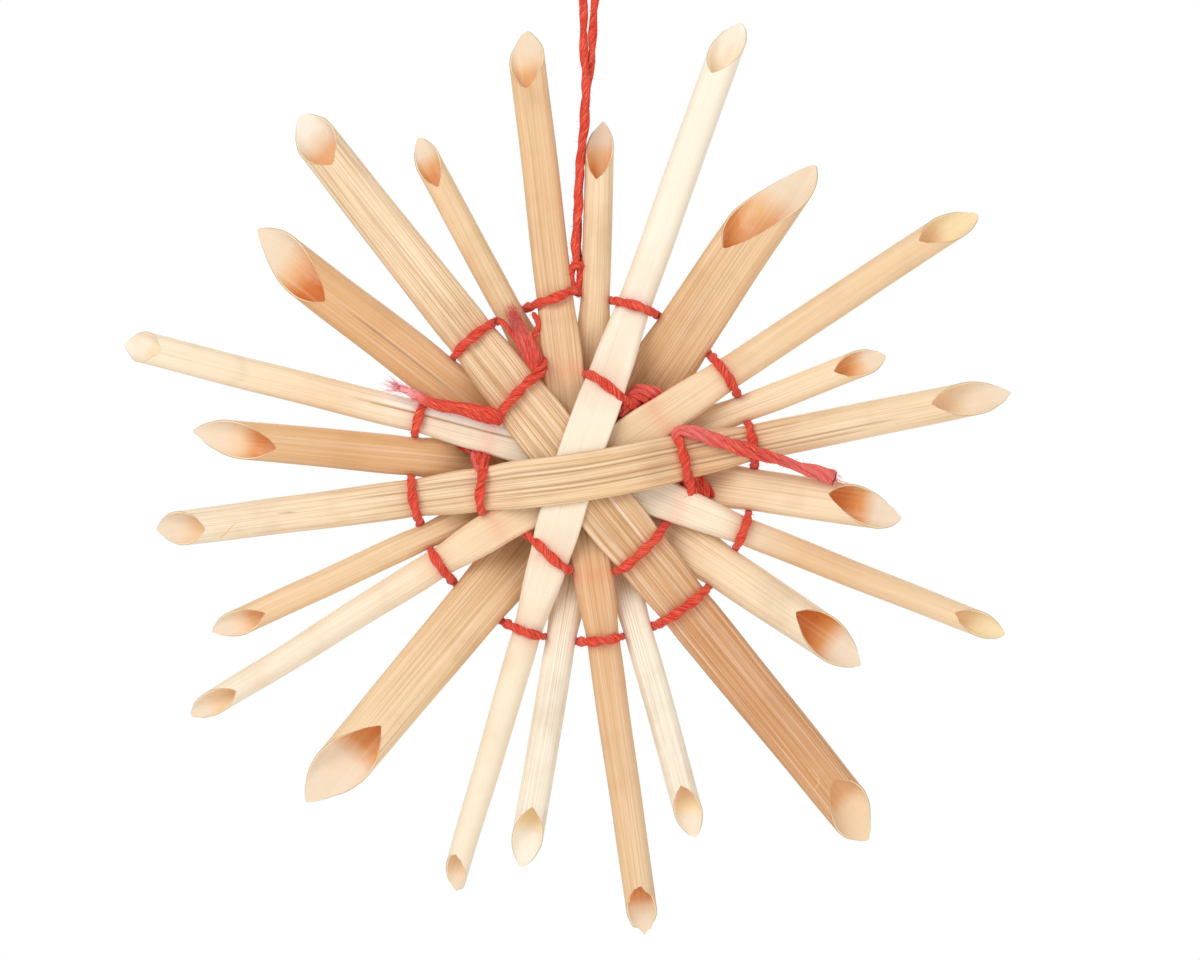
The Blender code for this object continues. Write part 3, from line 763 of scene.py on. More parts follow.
def layered(tree, under, layers, ribs_shown=1.0):
    """Lays colours over one another: each covers as much as its source says, from none at low to its amount
    at high. What belongs to the ribs shows only as much as the ribs do."""
    for layer in layers:
        share = add_node(
            tree, "ShaderNodeMapRange",
            {"Value": layer.source, "From Min": layer.low, "From Max": layer.high, "To Max": layer.amount},
        ).outputs["Result"]
        if layer.is_rib:
            share = add_node(
                tree, "ShaderNodeMath", {0: share, 1: ribs_shown}, operation="MULTIPLY"
            ).outputs["Value"]
        top = colour(layer.top) if isinstance(layer.top, str) else layer.top
        under = add_node(
            tree, "ShaderNodeMix", {"Factor": share, "A": under, "B": top}, data_type="RGBA"
        ).outputs["Result"]
    return under


def fibre_pattern(tree, fibre, per_mm, detail, seed, along_share=ALONG_SHARE):
    """Noise on the skin, drawn out along the fibres."""
    moved = add_node(
        tree, "ShaderNodeMapping",
        {"Vector": fibre, "Scale": (along_share, 1, 1), "Location": (seed,) * 3},
    )
    return add_node(
        tree, "ShaderNodeTexNoise",
        {"Vector": moved.outputs["Vector"], "Scale": per_mm, "Detail": detail, "Roughness": 0.6},
    ).outputs["Fac"]


print("a pattern of 1 mm across is", round(1 / ALONG_SHARE), "mm long along the fibres")

# %% The straw material
ALONG_RANGE = 43.0  # the skin's colours are spread over this far to both sides of the middle
# The pith's shades deepen into the bore: its own tint together with painted shade and bounce light.
MOUTH_RANGE = 1.6  # the bore's colours are spread from its tip to this many cut lengths inside
PITH_STOPS = (0.22, 0.35, 0.47)  # where in that range its three shades lie
RIBS_PER_MM = 10.0  # noise cells across each millimetre of skin: a rib about every fifth of a millimetre
RIBS_SOFTEN = (10.0, 24.0)  # the ribs stand out where the stalk is pressed flat and soften between these
RIBS_AT_TIPS = 0.6
LINES_PER_MM = 6.0  # the rarer dark fibres
PALE_PER_MM = 2.4  # soft pale streaks
BLOTCHES_PER_MM = 0.16
PITH_PER_MM = 3.0
PITH_PATCHES_PER_MM = 0.35
RAISED = 0.00006  # how high the fine ribs stand for the light, in metres
PAINTED_BORE_GLOW = 0.16  # painted glow: the bore emits a little light, standing in for daylight through its thin wall
STRAW_IOR = 1.4


def straw_material(name, look, seed):
    """Dried wheat straw, cut with a knife. To the eye its waxy skin is silky, a soft sheen broken by fine
    ribs, with painted shade between the ribs and painted highlights on their crests. The cut rim is pale and
    papery with a painted shade line at its edge, and the pith inside turns from pale to orange in the depth,
    partly by its own tint and partly by painted shade and bounce light, under a painted glow."""
    made, tree, shader = new_material(f"{name} dried wheat straw")
    fibre = add_node(tree, "ShaderNodeAttribute", attribute_name="fibre").outputs["Vector"]
    along = add_node(tree, "ShaderNodeSeparateXYZ", {"Vector": fibre}).outputs["X"]
    mouth = add_node(tree, "ShaderNodeAttribute", attribute_name="mouth").outputs["Vector"]
    mouth = add_node(tree, "ShaderNodeSeparateXYZ", {"Vector": mouth})
    inside, opening = mouth.outputs["X"], mouth.outputs["Y"]
    marks = add_node(tree, "ShaderNodeAttribute", attribute_name="marks").outputs["Vector"]
    marks = add_node(tree, "ShaderNodeSeparateXYZ", {"Vector": marks})
    cracked, red_bounce, worn = marks.outputs["X"], marks.outputs["Y"], marks.outputs["Z"]

    ribs = fibre_pattern(tree, fibre, RIBS_PER_MM, 2.0, seed)
    from_middle = add_node(tree, "ShaderNodeMath", {0: along}, operation="ABSOLUTE").outputs["Value"]
    ribs_shown = add_node(
        tree, "ShaderNodeMapRange",
        {"Value": from_middle, "From Min": RIBS_SOFTEN[0], "From Max": RIBS_SOFTEN[1],
         "To Min": 1.0, "To Max": RIBS_AT_TIPS},
    ).outputs["Result"]
    pale = fibre_pattern(tree, fibre, PALE_PER_MM, 2.0, seed + 9.0)
    blotches = fibre_pattern(tree, fibre, BLOTCHES_PER_MM, 3.0, seed, 1.0)
    dark_fibres = fibre_pattern(tree, fibre, LINES_PER_MM, 1.0, seed + 4.0)
    place = add_node(
        tree, "ShaderNodeMapRange", {"Value": along, "From Min": -ALONG_RANGE, "From Max": ALONG_RANGE}
    ).outputs["Result"]
    bleached = add_node(
        tree, "ShaderNodeValToRGB", {"Fac": place},
        stops=[(0.5 + spot / (2 * ALONG_RANGE), shade) for spot, shade in look.skin],
    ).outputs["Color"]
    skin = layered(tree, bleached, (
        # Pale streaks, darker blotches and, where the skin is worn off, the white under it.
        Layer(pale, 0.45, 0.8, 0.26, IVORY),
        Layer(blotches, 0.5, 0.75, 0.25, look.dark),
        Layer(worn, 0.0, 1.0, 0.8, "#FDF6EE"),
        # Painted shade between the ribs, the rarer dark fibres and painted highlights on the crests of the
        # ribs.
        Layer(ribs, 0.5, 0.6, look.ribs * 0.8, look.dark, True),
        Layer(dark_fibres, 0.64, 0.72, look.ribs * 0.7, "#96642F", True),
        Layer(ribs, 0.44, 0.34, look.ribs * 0.5, "#FAF1E2", True),
        # Painted red bounce light from the thread, the dark of cracks (painted shade in the split), specks
        # and the joint line, and the cut rim with a painted shade line along its edge.
        Layer(red_bounce, 0.0, 1.0, 0.22, "#EC7A5C"),
        # Painted shade in a crack's pushed-in column; the same note also darkens specks and the joint line.
        Layer(cracked, 0.0, 1.0, 0.55, "#8A5A30"),
        # Painted shade: a thin darker line along the outer edge of the cut rim.
        Layer(inside, 0.01, 0.06, 0.6, "#A87A48"),
        Layer(inside, 0.3, 0.5, 1.0, "#EAD7B6"),
    ), ribs_shown)

    # The pith in the bore: a range of three shades for each mouth, whose deeper ones are partly painted shade
    # and bounce light, then paper-white flecks and soft patches.
    depth = add_node(
        tree, "ShaderNodeMapRange", {"Value": opening, "From Max": MOUTH_RANGE}
    ).outputs["Result"]
    first_pith, second_pith = [
        add_node(tree, "ShaderNodeValToRGB", {"Fac": depth}, stops=list(zip(PITH_STOPS, shades)))
        for shades in (look.first_mouth, look.second_mouth)]
    is_first = add_node(tree, "ShaderNodeMath", {0: along, 1: 0.0}, operation="GREATER_THAN")
    pith = add_node(
        tree, "ShaderNodeMix",
        {"Factor": is_first.outputs["Value"], "A": second_pith.outputs["Color"],
         "B": first_pith.outputs["Color"]},
        data_type="RGBA",
    ).outputs["Result"]
    flecks = fibre_pattern(tree, fibre, PITH_PER_MM, 3.0, seed + 2.0)
    patches = fibre_pattern(tree, fibre, PITH_PATCHES_PER_MM, 3.0, seed + 5.0, 1.0)
    pith = layered(tree, pith, (
        Layer(flecks, 0.5, 0.75, 0.25, PAPER),
        Layer(patches, 0.48, 0.7, 0.45, PEACH),
    ))
    whole = layered(tree, skin, (Layer(inside, 0.86, 0.96, 1.0, pith),))
    tree.links.new(whole, shader.inputs["Base Color"])
    # Painted glow: the pith's colour is emitted inside the mouth, more in the depth, in place of light
    # through the wall.
    glow = layered(tree, colour("#000000"), (Layer(depth, 0.18, 0.6, PAINTED_BORE_GLOW, pith),))
    glow = layered(tree, colour("#000000"), (Layer(inside, 0.86, 0.96, 1.0, glow),))
    tree.links.new(glow, shader.inputs["Emission Color"])
    shader.inputs["Emission Strength"].default_value = 1.0

    raised = add_node(
        tree, "ShaderNodeBump", {"Height": ribs, "Strength": 0.2 + 0.4 * look.ribs, "Distance": RAISED}
    )
    tree.links.new(raised.outputs["Normal"], shader.inputs["Normal"])
    waxy = add_node(
        tree, "ShaderNodeMapRange",
        {"Value": ribs, "From Min": 0.3, "From Max": 0.7, "To Min": 0.48, "To Max": 0.62},
    )
    tree.links.new(waxy.outputs["Result"], shader.inputs["Roughness"])
    shader.inputs["IOR"].default_value = STRAW_IOR
    return made


print("a rib of the pattern shows about every", round(2 / RIBS_PER_MM, 2), "mm")

# %% [markdown]
# ## Cracks, worn skin and slivers
#
# No stalk is perfect: some have fine splits along the fibres, one has lost its waxy skin on one side, and
# two have a sliver that stands off. The shade in a split is painted on, and the split also dents the skin. So
# one column of the sheet is pushed in and noted for the material, which darkens it. Worn skin is noted the
# same way, and a sliver is a thin fibre of its own.

# %% Cracks, worn skin and joints
# Cracks and specks: from and to in mm along the stalk, the column of its sheet, and how deep.
CRACKS = {
    "long_straw_1": ((-20, 30, 3, 0.03), (-22, 19, 60, 0.04), (-17, 21, 57, 0.04), (-8, 27, 6, 0.03),
                     (-37.0, -35.2, 2, 0.0), (-27.8, -26.0, 63, 0.0)),
    "long_straw_5": ((-23, -4, 62, 0.14),),
    "short_straw_2": ((12, 27, 63, 0.05),),
}
CRACK_ENDS = 4.0  # a crack fades out over this length
# Where the waxy skin is worn off to the white: from and to along the stalk and the columns.
WORN = {"long_straw_5": (-21, -3, 47, 61)}
WORN_ENDS = 5.0
# The growth joint of a stalk shows as a faint line round it, this far along.
JOINTS = {"long_straw_6": 13.5, "long_straw_5": -31.5}
JOINT_SHADE = 0.18


def open_cracks(name, rings, fibres, mouths, marks):
    for start, finish, column, deep in CRACKS.get(name, ()):
        for ring, fibre, mouth, mark in zip(rings, fibres, mouths, marks):
            along = fibre[column][0]
            if start < along < finish and mouth[column][0] == 0.0:
                fading = smooth(min(along - start, finish - along) / min(CRACK_ENDS, (finish - start) / 3))
                ring[column].y += deep * fading
                mark[column] = (fading, *mark[column][1:])


def shade_joint(name, fibres, mouths, marks):
    if name in JOINTS:
        joint = min(range(len(fibres)),
                    key=lambda row: (abs(fibres[row][0][0] - JOINTS[name]), mouths[row][0][0]))
        marks[joint] = [(JOINT_SHADE, *mark[1:]) for mark in marks[joint]]


def wear_skin(name, fibres, marks):
    start, finish, low, high = WORN.get(name, (0, 0, 0, 0))
    for fibre, mark in zip(fibres, marks):
        for column in range(low, high):
            along = fibre[column][0]
            if start < along < finish:
                mark[column] = (*mark[column][:2], smooth(min(along - start, finish - along) / WORN_ENDS))


print("cracked or specked stalks:", len(CRACKS), "worn:", len(WORN), "with a joint:", len(JOINTS))

# %% Build the stalks
SEED_STEP = 1.7  # makes the noise of each stalk its own
# Slivers that stand off the skin, as points in mm about the star's centre.
SLIVERS = {
    "long_straw_1": ((-32.8, -1.55, -6.3), (-32.3, -1.85, -5.9), (-31.8, -1.95, -5.4), (-31.3, -1.7, -4.9)),
    "long_straw_3": ((20.4, -2.2, -27.0), (20.9, -2.5, -27.7), (20.9, -2.6, -28.3), (20.6, -2.3, -28.9)),
}
SLIVER = 0.09  # half its thickness
SLIVER_STEPS = 8


def add_sliver(name, points):
    """A thin fibre through the points, made as a bevelled curve and turned into a mesh."""
    spots = [Vector(point) for point in points]
    line = [bend(spots, i / SLIVER_STEPS) for i in range(SLIVER_STEPS + 1)]
    return add_hairs(name, [line], thick=SLIVER)


for number, straw in enumerate(STRAWS):
    first, second = arms[2 * number], arms[2 * number + 1]
    look = LOOKS[straw.name]
    seed = SEED_STEP * number
    first_parts = stalk_half(first, seed, False, look.cuts[0])
    second_parts = stalk_half(second, seed, True, look.cuts[1])
    rings, fibres, mouths, marks = [
        back[::-1] + [middle] + front
        for back, middle, front in zip(second_parts, middle_row(first), first_parts)]
    open_cracks(straw.name, rings, fibres, mouths, marks)
    shade_joint(straw.name, fibres, mouths, marks)
    wear_skin(straw.name, fibres, marks)
    stalk = rolled_sheet(f"{straw.name}_stalk", rings, {"fibre": fibres, "mouth": mouths, "marks": marks})
    if straw.name in SLIVERS:
        sliver = add_sliver(f"{straw.name}_sliver", SLIVERS[straw.name])
        select_only(stalk)
        sliver.select_set(True)
        bpy.ops.object.join()
    stalk.data.materials.clear()
    stalk.data.materials.append(straw_material(straw.name, look, seed))
    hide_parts(straw.name)
    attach(stalk, "root")
print("stalks:", len(STRAWS), "of", len(stalk.data.polygons), "faces each")

# %% [markdown]
# ## Red cotton yarn
#
# The thread is soft cotton of two plies twisted together, about 0.86 mm thick, with fine hairs standing
# off it. A smooth red tube would look like plastic, so each ply is a tube of its own that winds round the
# thread's line, and hundreds of tiny hairs are added as hair-thin curves.

# %% Lines that the threads follow
SHOULDER = 50.0  # how far round a straw's side the thread follows it, in degrees
SHOULDER_THICK = 0.86  # how much of its thickness the thread keeps there
YARN_STEP = 0.24
Stop = namedtuple("Stop", "spot side half")


def weave(arms, centre, ring, passes_front):
    """The route of a binding ring over and under the straws."""
    half = THREAD / 2
    caps = []
    for angle, arm, radius in crossings(arms, centre, ring):
        half_wide, half_thick = arm.half_sizes(radius - half)
        side = -1 if passes_front(arm) else 1
        caps.append((angle, arm.place(radius).y, half_wide - half_thick, half_thick, side))
    route = []
    for i, (angle, depth, flat, thick, side) in enumerate(caps):
        around = ring(angle)
        off = thick + half + CLEAR
        shoulder = math.radians(SHOULDER)
        spots = []
        for way in (-1, 1):
            edge_run = way * (flat + off * math.sin(shoulder))
            spots.append((way * flat, side * off, half))
            spots.append((edge_run, side * off * math.cos(shoulder), half * SHOULDER_THICK))
        for run, lift, thick_there in sorted(spots):
            route.append((angle + run / around, depth + lift, thick_there))
        next_angle, next_depth, next_flat, next_thick, _ = caps[(i + 1) % len(caps)]
        turn = (next_angle - angle) % (2 * math.pi)
        inner_side = ring(angle + turn / 2) - half
        edge = Vector((flat, depth))
        between = Vector((turn * inner_side - next_flat, next_depth)) - edge
        room = between.length - thick - next_thick
        middle = edge + between.normalized() * (thick + room / 2)
        route.append((angle + middle.x / inner_side, middle.y, min(half, room / 2 - CLEAR)))
    stops = []
    for angle, depth, squeeze in route:
        outward = Vector((math.cos(angle), 0, math.sin(angle)))
        stops.append(Stop(Vector((centre[0], depth, centre[1])) + outward * ring(angle), outward, squeeze))
    return stops


def eased_loop(stops, rounds):
    """A closed route in even short steps, its corners eased by averaging neighbours."""
    fine = []
    for here, after in zip(stops, stops[1:] + stops[:1]):
        count = max(1, round((after.spot - here.spot).length / YARN_STEP))
        for j in range(count):
            share = j / count
            side = here.side.lerp(after.side, share).normalized()
            fine.append(Stop(here.spot.lerp(after.spot, share), side, mix(here.half, after.half, share)))
    for _ in range(rounds):
        fine = [
            stop._replace(spot=(fine[i - 1].spot + stop.spot * 2 + fine[(i + 1) % len(fine)].spot) / 4)
            for i, stop in enumerate(fine)]
    return fine


def open_route(spots, halves, side):
    """A smooth open route through the spots, with the thread's half thickness at each."""
    length = sum((after - here).length for here, after in zip(spots, spots[1:]))
    count = max(8, round(length / YARN_STEP))
    thick = [Vector((half, 0, 0)) for half in halves]
    return [Stop(bend(spots, i / count), side, bend(thick, i / count).x) for i in range(count + 1)]


print("a yarn has a ring every", YARN_STEP, "mm")

# %% Twisted plies
PLY_SIDES = 7
TWIST = 4.0  # length of yarn in which a ply goes once round: it is loosely spun
PLY_OFFSET = 0.30  # of the yarn's half thickness
PLY_RADIUS = 0.74
SOFTNESS = 1.12  # soft yarn looks this much thicker than its firm core
STRAND_OFFSET = 0.58  # the same for a bundle of more strands
STRAND_RADIUS = 0.46
PLY_UNEVEN = 0.15  # how much a ply's thickness wanders
UNEVEN_PER_MM = 0.9


def twisted_yarn(name, route, is_loop=False, plies=2, fade=None, twist=TWIST):
    """Plies that wind round the route. The pink-share function gives how pink each stop turns: partly
    bleached cotton, partly painted light on tails.
    """
    offset, thick = (PLY_OFFSET, PLY_RADIUS) if plies == 2 else (STRAND_OFFSET, STRAND_RADIUS)
    lengths = [0.0]
    for here, after in zip(route, route[1:]):
        lengths.append(lengths[-1] + (after.spot - here.spot).length)
    total = lengths[-1] + ((route[0].spot - route[-1].spot).length if is_loop else 0.0)
    turns = round(total / twist) if is_loop else total / twist
    parts = []
    for ply in range(plies):
        rings, notes, pink_shares = [], [], []
        for i, stop in enumerate(route):
            before = route[i - 1].spot if is_loop or i else stop.spot
            after = route[(i + 1) % len(route)].spot if is_loop or i + 1 < len(route) else stop.spot
            along = (after - before).normalized()
            side = (stop.side - along * stop.side.dot(along)).normalized()
            other = along.cross(side)
            swing = 2 * math.pi * (turns * lengths[i] / total + ply / plies)
            thickness = noise.noise(Vector((lengths[i] * UNEVEN_PER_MM, 7 * ply, len(name))))
            wander = SOFTNESS * (1 + PLY_UNEVEN * thickness)
            to_ply = side * math.cos(swing) + other * math.sin(swing)
            centre = stop.spot + to_ply * stop.half * offset * wander
            ring, note = [], []
            for k in range(PLY_SIDES):
                turn = 2 * math.pi * k / PLY_SIDES
                out = side * math.cos(turn) + other * math.sin(turn)
                ring.append(centre + out * stop.half * thick * wander)
                spin = turn - 2 * swing
                note.append((lengths[i], math.cos(spin), math.sin(spin) + 4 * ply))
            rings.append(ring)
            notes.append(note)
            pink_shares.append([fade(i / len(route)) if fade else 0.0] * PLY_SIDES)
        if not is_loop:
            for end, at in ((0, 0), (-1, len(rings))):
                tip = sum(rings[end], Vector()) / PLY_SIDES
                rings.insert(at, [tip] * PLY_SIDES)
                notes.insert(at, notes[end])
                pink_shares.insert(at, pink_shares[end])
        parts.append(rolled_sheet(f"{name}_ply_{ply + 1}", rings, {"yarn": notes, "fade": pink_shares}, is_loop))
    return parts


print("a ply goes once round in", TWIST, "mm")

# %% [markdown]
# ## Fuzz and frayed ends
#
# Cotton is spun from short fibres, and their ends stand off the yarn and fan out where it was cut. A
# rough texture can't break the yarn's outline, so real hairs are laid: short curling ones all along, a
# fan at each cut end, and loose ones along the tails whose twist has opened. The dice have a fixed seed,
# so every run is alike.

# %% Fuzz
dice = random.Random(11)
FUZZ_ROOT = 0.75  # hairs start this share of the yarn's half thickness off its middle
FUZZ_LIFT = 0.7  # how much they stand off rather than lie along
FUZZ_CURL = 0.5
FRAY_CURL = 0.25
WISP_SPREAD = 0.18
WISP_CURL = 0.16
WISP_LEAST = 0.25  # fibres of a wisp start at least this far from its middle


def any_way():
    return Vector((dice.gauss(0, 1), dice.gauss(0, 1), dice.gauss(0, 1))).normalized()


def hair_from(start, way, length, curl):
    """A hair of four points that leaves start along way and curls off at random."""
    points = [start]
    for _ in range(3):
        way = (way + any_way() * curl).normalized()
        points.append(points[-1] + way * length / 3)
    return points


def fuzz(route, spacing, longest):
    """Short hairs that stand off a yarn all along it."""
    hairs = []
    waiting = 0.0
    for here, after in zip(route, route[1:]):
        along = after.spot - here.spot
        waiting += along.length
        while waiting > spacing:
            waiting -= spacing
            out = any_way()
            out = (out - along * out.dot(along) / along.length_squared).normalized()
            start = here.spot + out * here.half * FUZZ_ROOT
            way = (out * FUZZ_LIFT + along.normalized() * dice.uniform(-1, 1)).normalized()
            hairs.append(hair_from(start, way, dice.uniform(0.3, 1.0) * longest, FUZZ_CURL))
    return hairs


def frayed_end(stop, way, count, length, spread):
    """The loose fibres of a yarn's cut end."""
    hairs = []
    for _ in range(count):
        start = stop.spot + any_way() * stop.half * 0.5 - way * dice.uniform(0, 0.4) * length
        fanned = (way + any_way() * spread).normalized()
        hairs.append(hair_from(start, fanned, dice.uniform(0.5, 1) * length, FRAY_CURL))
    return hairs


def wisp(route, count, length):
    """Fibres that run loosely along an unspun tail and out past its end."""
    hairs = []
    for _ in range(count):
        i = dice.randrange(len(route) // 4, len(route) - 1)
        along = (route[i + 1].spot - route[i].spot).normalized()
        start = route[i].spot + any_way() * max(route[i].half, WISP_LEAST) * dice.uniform(0.7, 1.15)
        loose = (along + any_way() * WISP_SPREAD).normalized()
        hairs.append(hair_from(start, loose, dice.uniform(0.5, 1) * length, WISP_CURL))
    return hairs


print("hairs start", FUZZ_ROOT, "of a yarn's half thickness from its middle")

# %% [markdown]
# ## The cotton's colour
#
# The thread is dyed right through, but each fibre takes the dye a little differently and the cut ends
# bleach to pink. A single red would look like wire, so a noise that is stretched along the plies mixes
# three reds; the same noise raises the fibres, so its dark red is painted shade in the gaps and its light red
# a painted highlight on the crests. The notes on the mesh say where it turns pink, which on the tails and
# loose fibres is also painted light that lifts them out of their own shade.

# %% Cotton material
FIBRES_PER_MM = 4.0  # coarser than real cotton fibres, so that they show
FIBRES_ALONG = 0.22
COTTON_RAISED = 0.0001  # in metres


def cotton_material():
    """Two-ply craft cotton, dyed red and loosely spun: to the eye it is matt, with painted highlights on the
    crests and painted shade in the gaps between its fibres, and a faint fluff of sheen."""
    made, tree, shader = new_material("red dyed cotton yarn")
    yarn = add_node(tree, "ShaderNodeAttribute", attribute_name="yarn")
    worn = add_node(tree, "ShaderNodeAttribute", attribute_name="fade")
    stretched = add_node(
        tree, "ShaderNodeMapping", {"Vector": yarn.outputs["Vector"], "Scale": (FIBRES_ALONG, 1, 1)}
    )
    strands = add_node(
        tree, "ShaderNodeTexNoise",
        {"Vector": stretched.outputs["Vector"], "Scale": FIBRES_PER_MM, "Detail": 3.0, "Roughness": 0.6},
    )
    # Three reds from the fibre noise that also raises the bump: the dark stop is painted shade in the gaps,
    # the light stop a painted highlight on the crests.
    red = add_node(
        tree, "ShaderNodeValToRGB", {"Fac": strands.outputs["Fac"]},
        stops=[(0.34, "#AA1A0E"), (0.5, "#E03C24"), (0.66, "#F0785A")],
    )
    # Turns pink where the notes say: partly bleached cotton, partly painted light on tails and loose fibres
    # that would show their own shade.
    bleached = add_node(
        tree, "ShaderNodeMix",
        {"Factor": worn.outputs["Fac"], "A": red.outputs["Color"], "B": colour("#F8A6A8")},
        data_type="RGBA",
    )
    tree.links.new(bleached.outputs["Result"], shader.inputs["Base Color"])
    raised = add_node(
        tree, "ShaderNodeBump",
        {"Height": strands.outputs["Fac"], "Strength": 0.7, "Distance": COTTON_RAISED},
    )
    tree.links.new(raised.outputs["Normal"], shader.inputs["Normal"])
    shader.inputs["Roughness"].default_value = 0.85
    shader.inputs["Sheen Weight"].default_value = 0.12
    shader.inputs["Sheen Roughness"].default_value = 0.4
    return made


cotton = cotton_material()
print(cotton.name + ":", len(cotton.node_tree.nodes), "nodes")

# %% [markdown]
# ## Yarn pressed on straw
#
# Soft yarn flattens against the hard straw that it is pulled over. Simulated cloth could find that shape,
# but a plain rule is enough here: every point of the yarn that lies inside a stalk moves out to the
# nearest place on its skin. A search tree over all stalks finds that place.

# %% Yarn pressed on straw
PRESS_GAP = 0.01  # how far off the straw the pressed yarn stays
PRESS_REACH = 4 * YARN_STEP


def straw_surface():
    """All the stalks as one surface to look up the nearest place on."""
    points, faces = [], []
    for straw in STRAWS:
        mesh = bpy.data.objects[f"{straw.name}_stalk"].data
        first = len(points)
        points += [vertex.co for vertex in mesh.vertices]
        faces += [[first + i for i in face.vertices] for face in mesh.polygons]
    return BVHTree.FromPolygons(points, faces)


def press_out(piece, surface):
    """Moves every point of the piece that lies inside a straw out to the straw's surface."""
    moved = 0
    for vertex in piece.data.vertices:
        place, normal, _, _ = surface.find_nearest(vertex.co, PRESS_REACH * MM)
        if place is not None and (vertex.co - place).dot(normal) < 0:
            vertex.co = place + normal * PRESS_GAP * MM
            moved += 1
    return moved


straws_outside = straw_surface()
print("skins to press against:", len(STRAWS))


# %% Finishing a thread
def finish_yarn(name, parts, node):
    """Joins the parts of a thread and puts the finished piece in its node's place."""
    select_only(parts[0])
    for part in parts:
        part.select_set(True)
    bpy.ops.object.join()
    piece = bpy.context.object
    piece.name = name
    piece.data.name = name
    piece.data.materials.clear()
    piece.data.materials.append(cotton)
    moved = press_out(piece, straws_outside)
    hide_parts(node)
    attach(piece, "root")
    print(name, len(piece.data.polygons), "faces,", moved, "points pressed flat")
    return piece


print("every thread takes the material", cotton.name)

# %% [markdown]
# ## The outer ring and its knot
#
# The outer ring is one yarn that closes on itself, and at the top the hanging loop is tied to it. A knot
# could be a round blob, but up close a real one is short lengths of the same yarn that cross. So it is
# laid as three small bundles: two strands that run down from the loop and one wrap round them.

# %% Knots and bundles
BUNDLE_FUZZ = {"spacing": 0.12, "longest": 0.8}
RING_FUZZ = {"spacing": 0.14, "longest": 0.6}
to_the_back = Vector((0, 1, 0))
Bundle = namedtuple("Bundle", "name strands twist stops fade", defaults=(None,))


def bundle_route(bundle):
    spots = [Vector(stop[:3]) for stop in bundle.stops]
    return open_route(spots, [stop[3] / 2 for stop in bundle.stops], to_the_back)


def lay_bundles(bundles):
    """The parts and the hairs of short lengths of yarn, each given by its stops (x, y, z, thickness)."""
    made, hairs = [], []
    for bundle in bundles:
        route = bundle_route(bundle)
        made += twisted_yarn(bundle.name, route, False, bundle.strands, bundle.fade, bundle.twist)
        hairs += fuzz(route, **BUNDLE_FUZZ)
    return made, hairs


print("mm between hairs of a ring:", RING_FUZZ["spacing"], "and of a bundle:", BUNDLE_FUZZ["spacing"])

# %% The outer ring
KNOT_PULL = 0.7  # the hanging loop pulls the ring up a little at its knot
KNOT_PULL_AT = -0.7
KNOT_PULL_REACH = 1.6
KNOT_AT = -0.74  # how far to the side of the star's centre the knot is
KNOT_TOP = 18.25
KNOT_STRANDS = (
    Bundle("left_strand", strands=2, twist=4.0, stops=(
        (-0.80, -0.30, 18.6, 0.70), (-1.22, -0.35, 17.7, 0.62), (-1.20, -0.30, 16.9, 0.60),
        (-0.85, -0.20, 16.1, 0.66), (-0.95, -0.15, 15.5, 0.60),
    )),
    Bundle("right_strand", strands=2, twist=4.0, stops=(
        (-0.55, -0.30, 18.6, 0.70), (-0.42, -0.25, 17.7, 0.60), (-0.50, -0.30, 16.9, 0.58),
        (-0.62, -0.15, 16.1, 0.66), (-0.50, -0.05, 15.4, 0.60),
    )),
    Bundle("wrap", strands=2, twist=4.0, stops=(
        (-1.25, -0.15, 17.9, 0.5), (-0.95, -0.72, 18.15, 0.56), (-0.45, -0.70, 18.25, 0.56),
        (-0.15, -0.20, 18.0, 0.5), (-0.45, 0.25, 17.8, 0.5),
    )),
)
outer_route = eased_loop(weave(arms, OUTER_SHIFT, outer_ring, lambda arm: arm.is_long), 3)
for i, stop in enumerate(outer_route):
    if stop.spot.z > 0:
        lift = KNOT_PULL * math.exp(-(((stop.spot.x - KNOT_PULL_AT) / KNOT_PULL_REACH) ** 2))
        outer_route[i] = stop._replace(spot=stop.spot + Vector((0, 0, lift)))
parts = twisted_yarn("outer_ring", outer_route, True)
knot_parts, hairs = lay_bundles(KNOT_STRANDS)
parts += knot_parts
parts.append(add_hairs("outer_fuzz", fuzz(outer_route, **RING_FUZZ) + hairs))
finish_yarn("outer_binding_yarn", parts, "outer_binding_thread")
